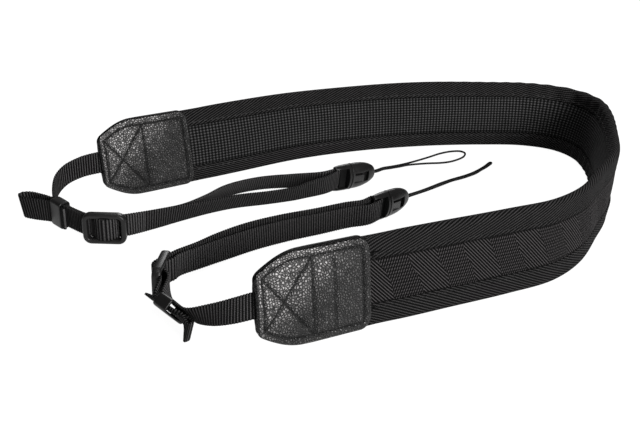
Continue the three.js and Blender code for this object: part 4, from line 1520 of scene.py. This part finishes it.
# %% Cord routes
# Points in metres before the origin was moved.
CORD_ROUTES = {
    "front": [
        (0.0341, 0.0116, 0.0046),
        (0.0416, 0.0151, 0.0034),
        (0.0485, 0.0187, 0.0022),
        (0.0593, 0.0233, 0.0012),
        (0.0683, 0.0261, 0.0007),
        (0.0766, 0.0277, 0.0006),
        (0.0823, 0.0290, 0.0006),
        (0.0876, 0.0307, 0.0006),
        (0.0934, 0.0331, 0.0006),
        (0.0986, 0.0357, 0.0006),
        (0.1034, 0.0385, 0.0006),
        (0.1045, 0.0390, 0.0006),
        (0.1052, 0.0388, 0.0006),
        (0.1052, 0.0381, 0.0006),
        (0.1045, 0.0375, 0.0006),
        (0.0991, 0.0344, 0.0006),
        (0.0932, 0.0317, 0.0006),
        (0.0866, 0.0286, 0.0006),
        (0.0814, 0.0271, 0.0006),
        (0.0756, 0.0258, 0.0006),
        (0.0672, 0.0244, 0.0007),
        (0.0579, 0.0211, 0.0012),
        (0.0473, 0.0167, 0.0022),
        (0.0405, 0.0133, 0.0034),
        (0.0331, 0.0099, 0.0046),
    ],
    "back": [
        (0.0331, 0.0457, 0.0046),
        (0.0399, 0.0480, 0.0034),
        (0.0480, 0.0510, 0.0020),
        (0.0542, 0.0532, 0.0012),
        (0.0630, 0.0558, 0.0006),
        (0.0726, 0.0580, 0.0006),
        (0.0830, 0.0606, 0.0006),
        (0.0915, 0.0610, 0.0006),
        (0.0968, 0.0594, 0.0006),
        (0.0980, 0.0564, 0.0006),
        (0.0944, 0.0520, 0.0006),
        (0.0880, 0.0492, 0.0006),
        (0.0812, 0.0479, 0.0006),
        (0.0748, 0.0483, 0.0006),
        (0.0678, 0.0500, 0.0006),
        (0.0615, 0.0512, 0.0006),
        (0.0528, 0.0509, 0.0012),
        (0.0468, 0.0490, 0.0020),
        (0.0389, 0.0462, 0.0034),
        (0.0321, 0.0439, 0.0046),
    ],
}
print("cord points:", {end: len(points) for end, points in CORD_ROUTES.items()})

# %% [markdown]
# The curve starts and ends square to the buckle's tip, so two straight points at each end come from the
# buckle's own frame.

# %% Cord loops
CORD_DIAMETER = 1.2 * MM
CORD_SPREAD = 1.6
CORD_TIP = 26.0
CORD_STRAIGHT = 2.5
CORD_SAMPLES = 420


def cord_loop(end):
    place = standing(*buckle_frame(end), BUCKLE_TILT)

    def from_tip(along, side):
        return place @ Vector(((CORD_TIP + along) * MM, side * CORD_SPREAD / 2 * MM, 0))

    middle_points = [Vector((x, y, z)) + ORIGIN_SHIFT.to_3d() for x, y, z in CORD_ROUTES[end]]
    out = [from_tip(GAP, 1), from_tip(GAP + CORD_STRAIGHT, 1)]
    back = [from_tip(GAP + CORD_STRAIGHT, -1), from_tip(GAP, -1)]
    rows = [tuple(point / MM) for point in (*out, *middle_points, *back)]
    line = Route(rows, [])
    points = line.at(np.linspace(0, line.length, CORD_SAMPLES))[0] * MM
    name = f"{end}_cord_loop"
    curve = bpy.data.curves.new(name, "CURVE")
    curve.dimensions = "3D"
    curve.bevel_depth = CORD_DIAMETER / 2
    curve.bevel_resolution = 3
    curve.use_fill_caps = True
    spline = curve.splines.new("POLY")
    spline.points.add(len(points) - 1)
    spline.points.foreach_set("co", np.column_stack([points, np.ones(len(points))]).ravel())
    curve.materials.append(cord_braid)
    piece = new_object(name, curve)
    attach(piece, "root")
    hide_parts(name)


for end in STRAPS:
    cord_loop(end)

# %% [markdown]
# The strap was shot on a blank white ground. The floor glows by itself to be as white, and it gives no bounce
# light to the matt cloth, which would grey its blacks. A low key light stands in front, smaller ones above
# and behind draw the edges, and the world gives a faint fill.

# %% Floor and light
FLOOR_SIZE = 40.0
FLOOR_DROP = 0.2 * MM
FLOOR_GLOW = 0.97
FILL_STRENGTH = 0.08
# Name, place and size in metres, and power in watts.
LIGHTS = [
    ("key", (0.2, -1.15, 0.5), 0.5, 24.0),
    ("top", (-0.1, -0.3, 1.15), 0.4, 4.0),
    ("back", (0.5, 1.0, 0.7), 0.5, 8.0),
]


def studio_floor():
    finish = Finish("white_sweep", Roughness=0.9, Specular_IOR_Level=0.1, Emission_Strength=FLOOR_GLOW)
    cloud = finish.noise(finish.place(), 0.6)
    finish.colour(cloud, (0.10, 0.10, 0.10), (0.12, 0.12, 0.12))
    finish.shader.inputs["Emission Color"].default_value = (1, 1, 1, 1)
    shape = bmesh.new()
    bmesh.ops.create_grid(shape, x_segments=2, y_segments=2, size=FLOOR_SIZE / 2)
    floor = new_object("floor", new_mesh("floor", shape))
    floor.data.materials.append(finish.material)
    floor.location.z = -FLOOR_DROP
    floor.visible_diffuse = False


def soft_light(name, place, size, power):
    light = bpy.data.lights.new(name, "AREA")
    light.size = size
    light.energy = power
    lamp = new_object(name, light)
    lamp.location = place
    lamp.rotation_euler = (-Vector(place)).to_track_quat("-Z", "Y").to_euler()


studio_floor()
for light in LIGHTS:
    soft_light(*light)
world = bpy.data.worlds.new("studio")
world.use_nodes = True
world.node_tree.nodes["Background"].inputs[0].default_value = (1, 1, 1, 1)
world.node_tree.nodes["Background"].inputs[1].default_value = FILL_STRENGTH
bpy.context.scene.world = world
bpy.context.scene.view_settings.view_transform = "Standard"
print("lights:", [name for name, *_ in LIGHTS], "fill:", FILL_STRENGTH)

# %% [markdown]
# The dressed strap has to stay inside the CAD model's box, apart from a little cloth.
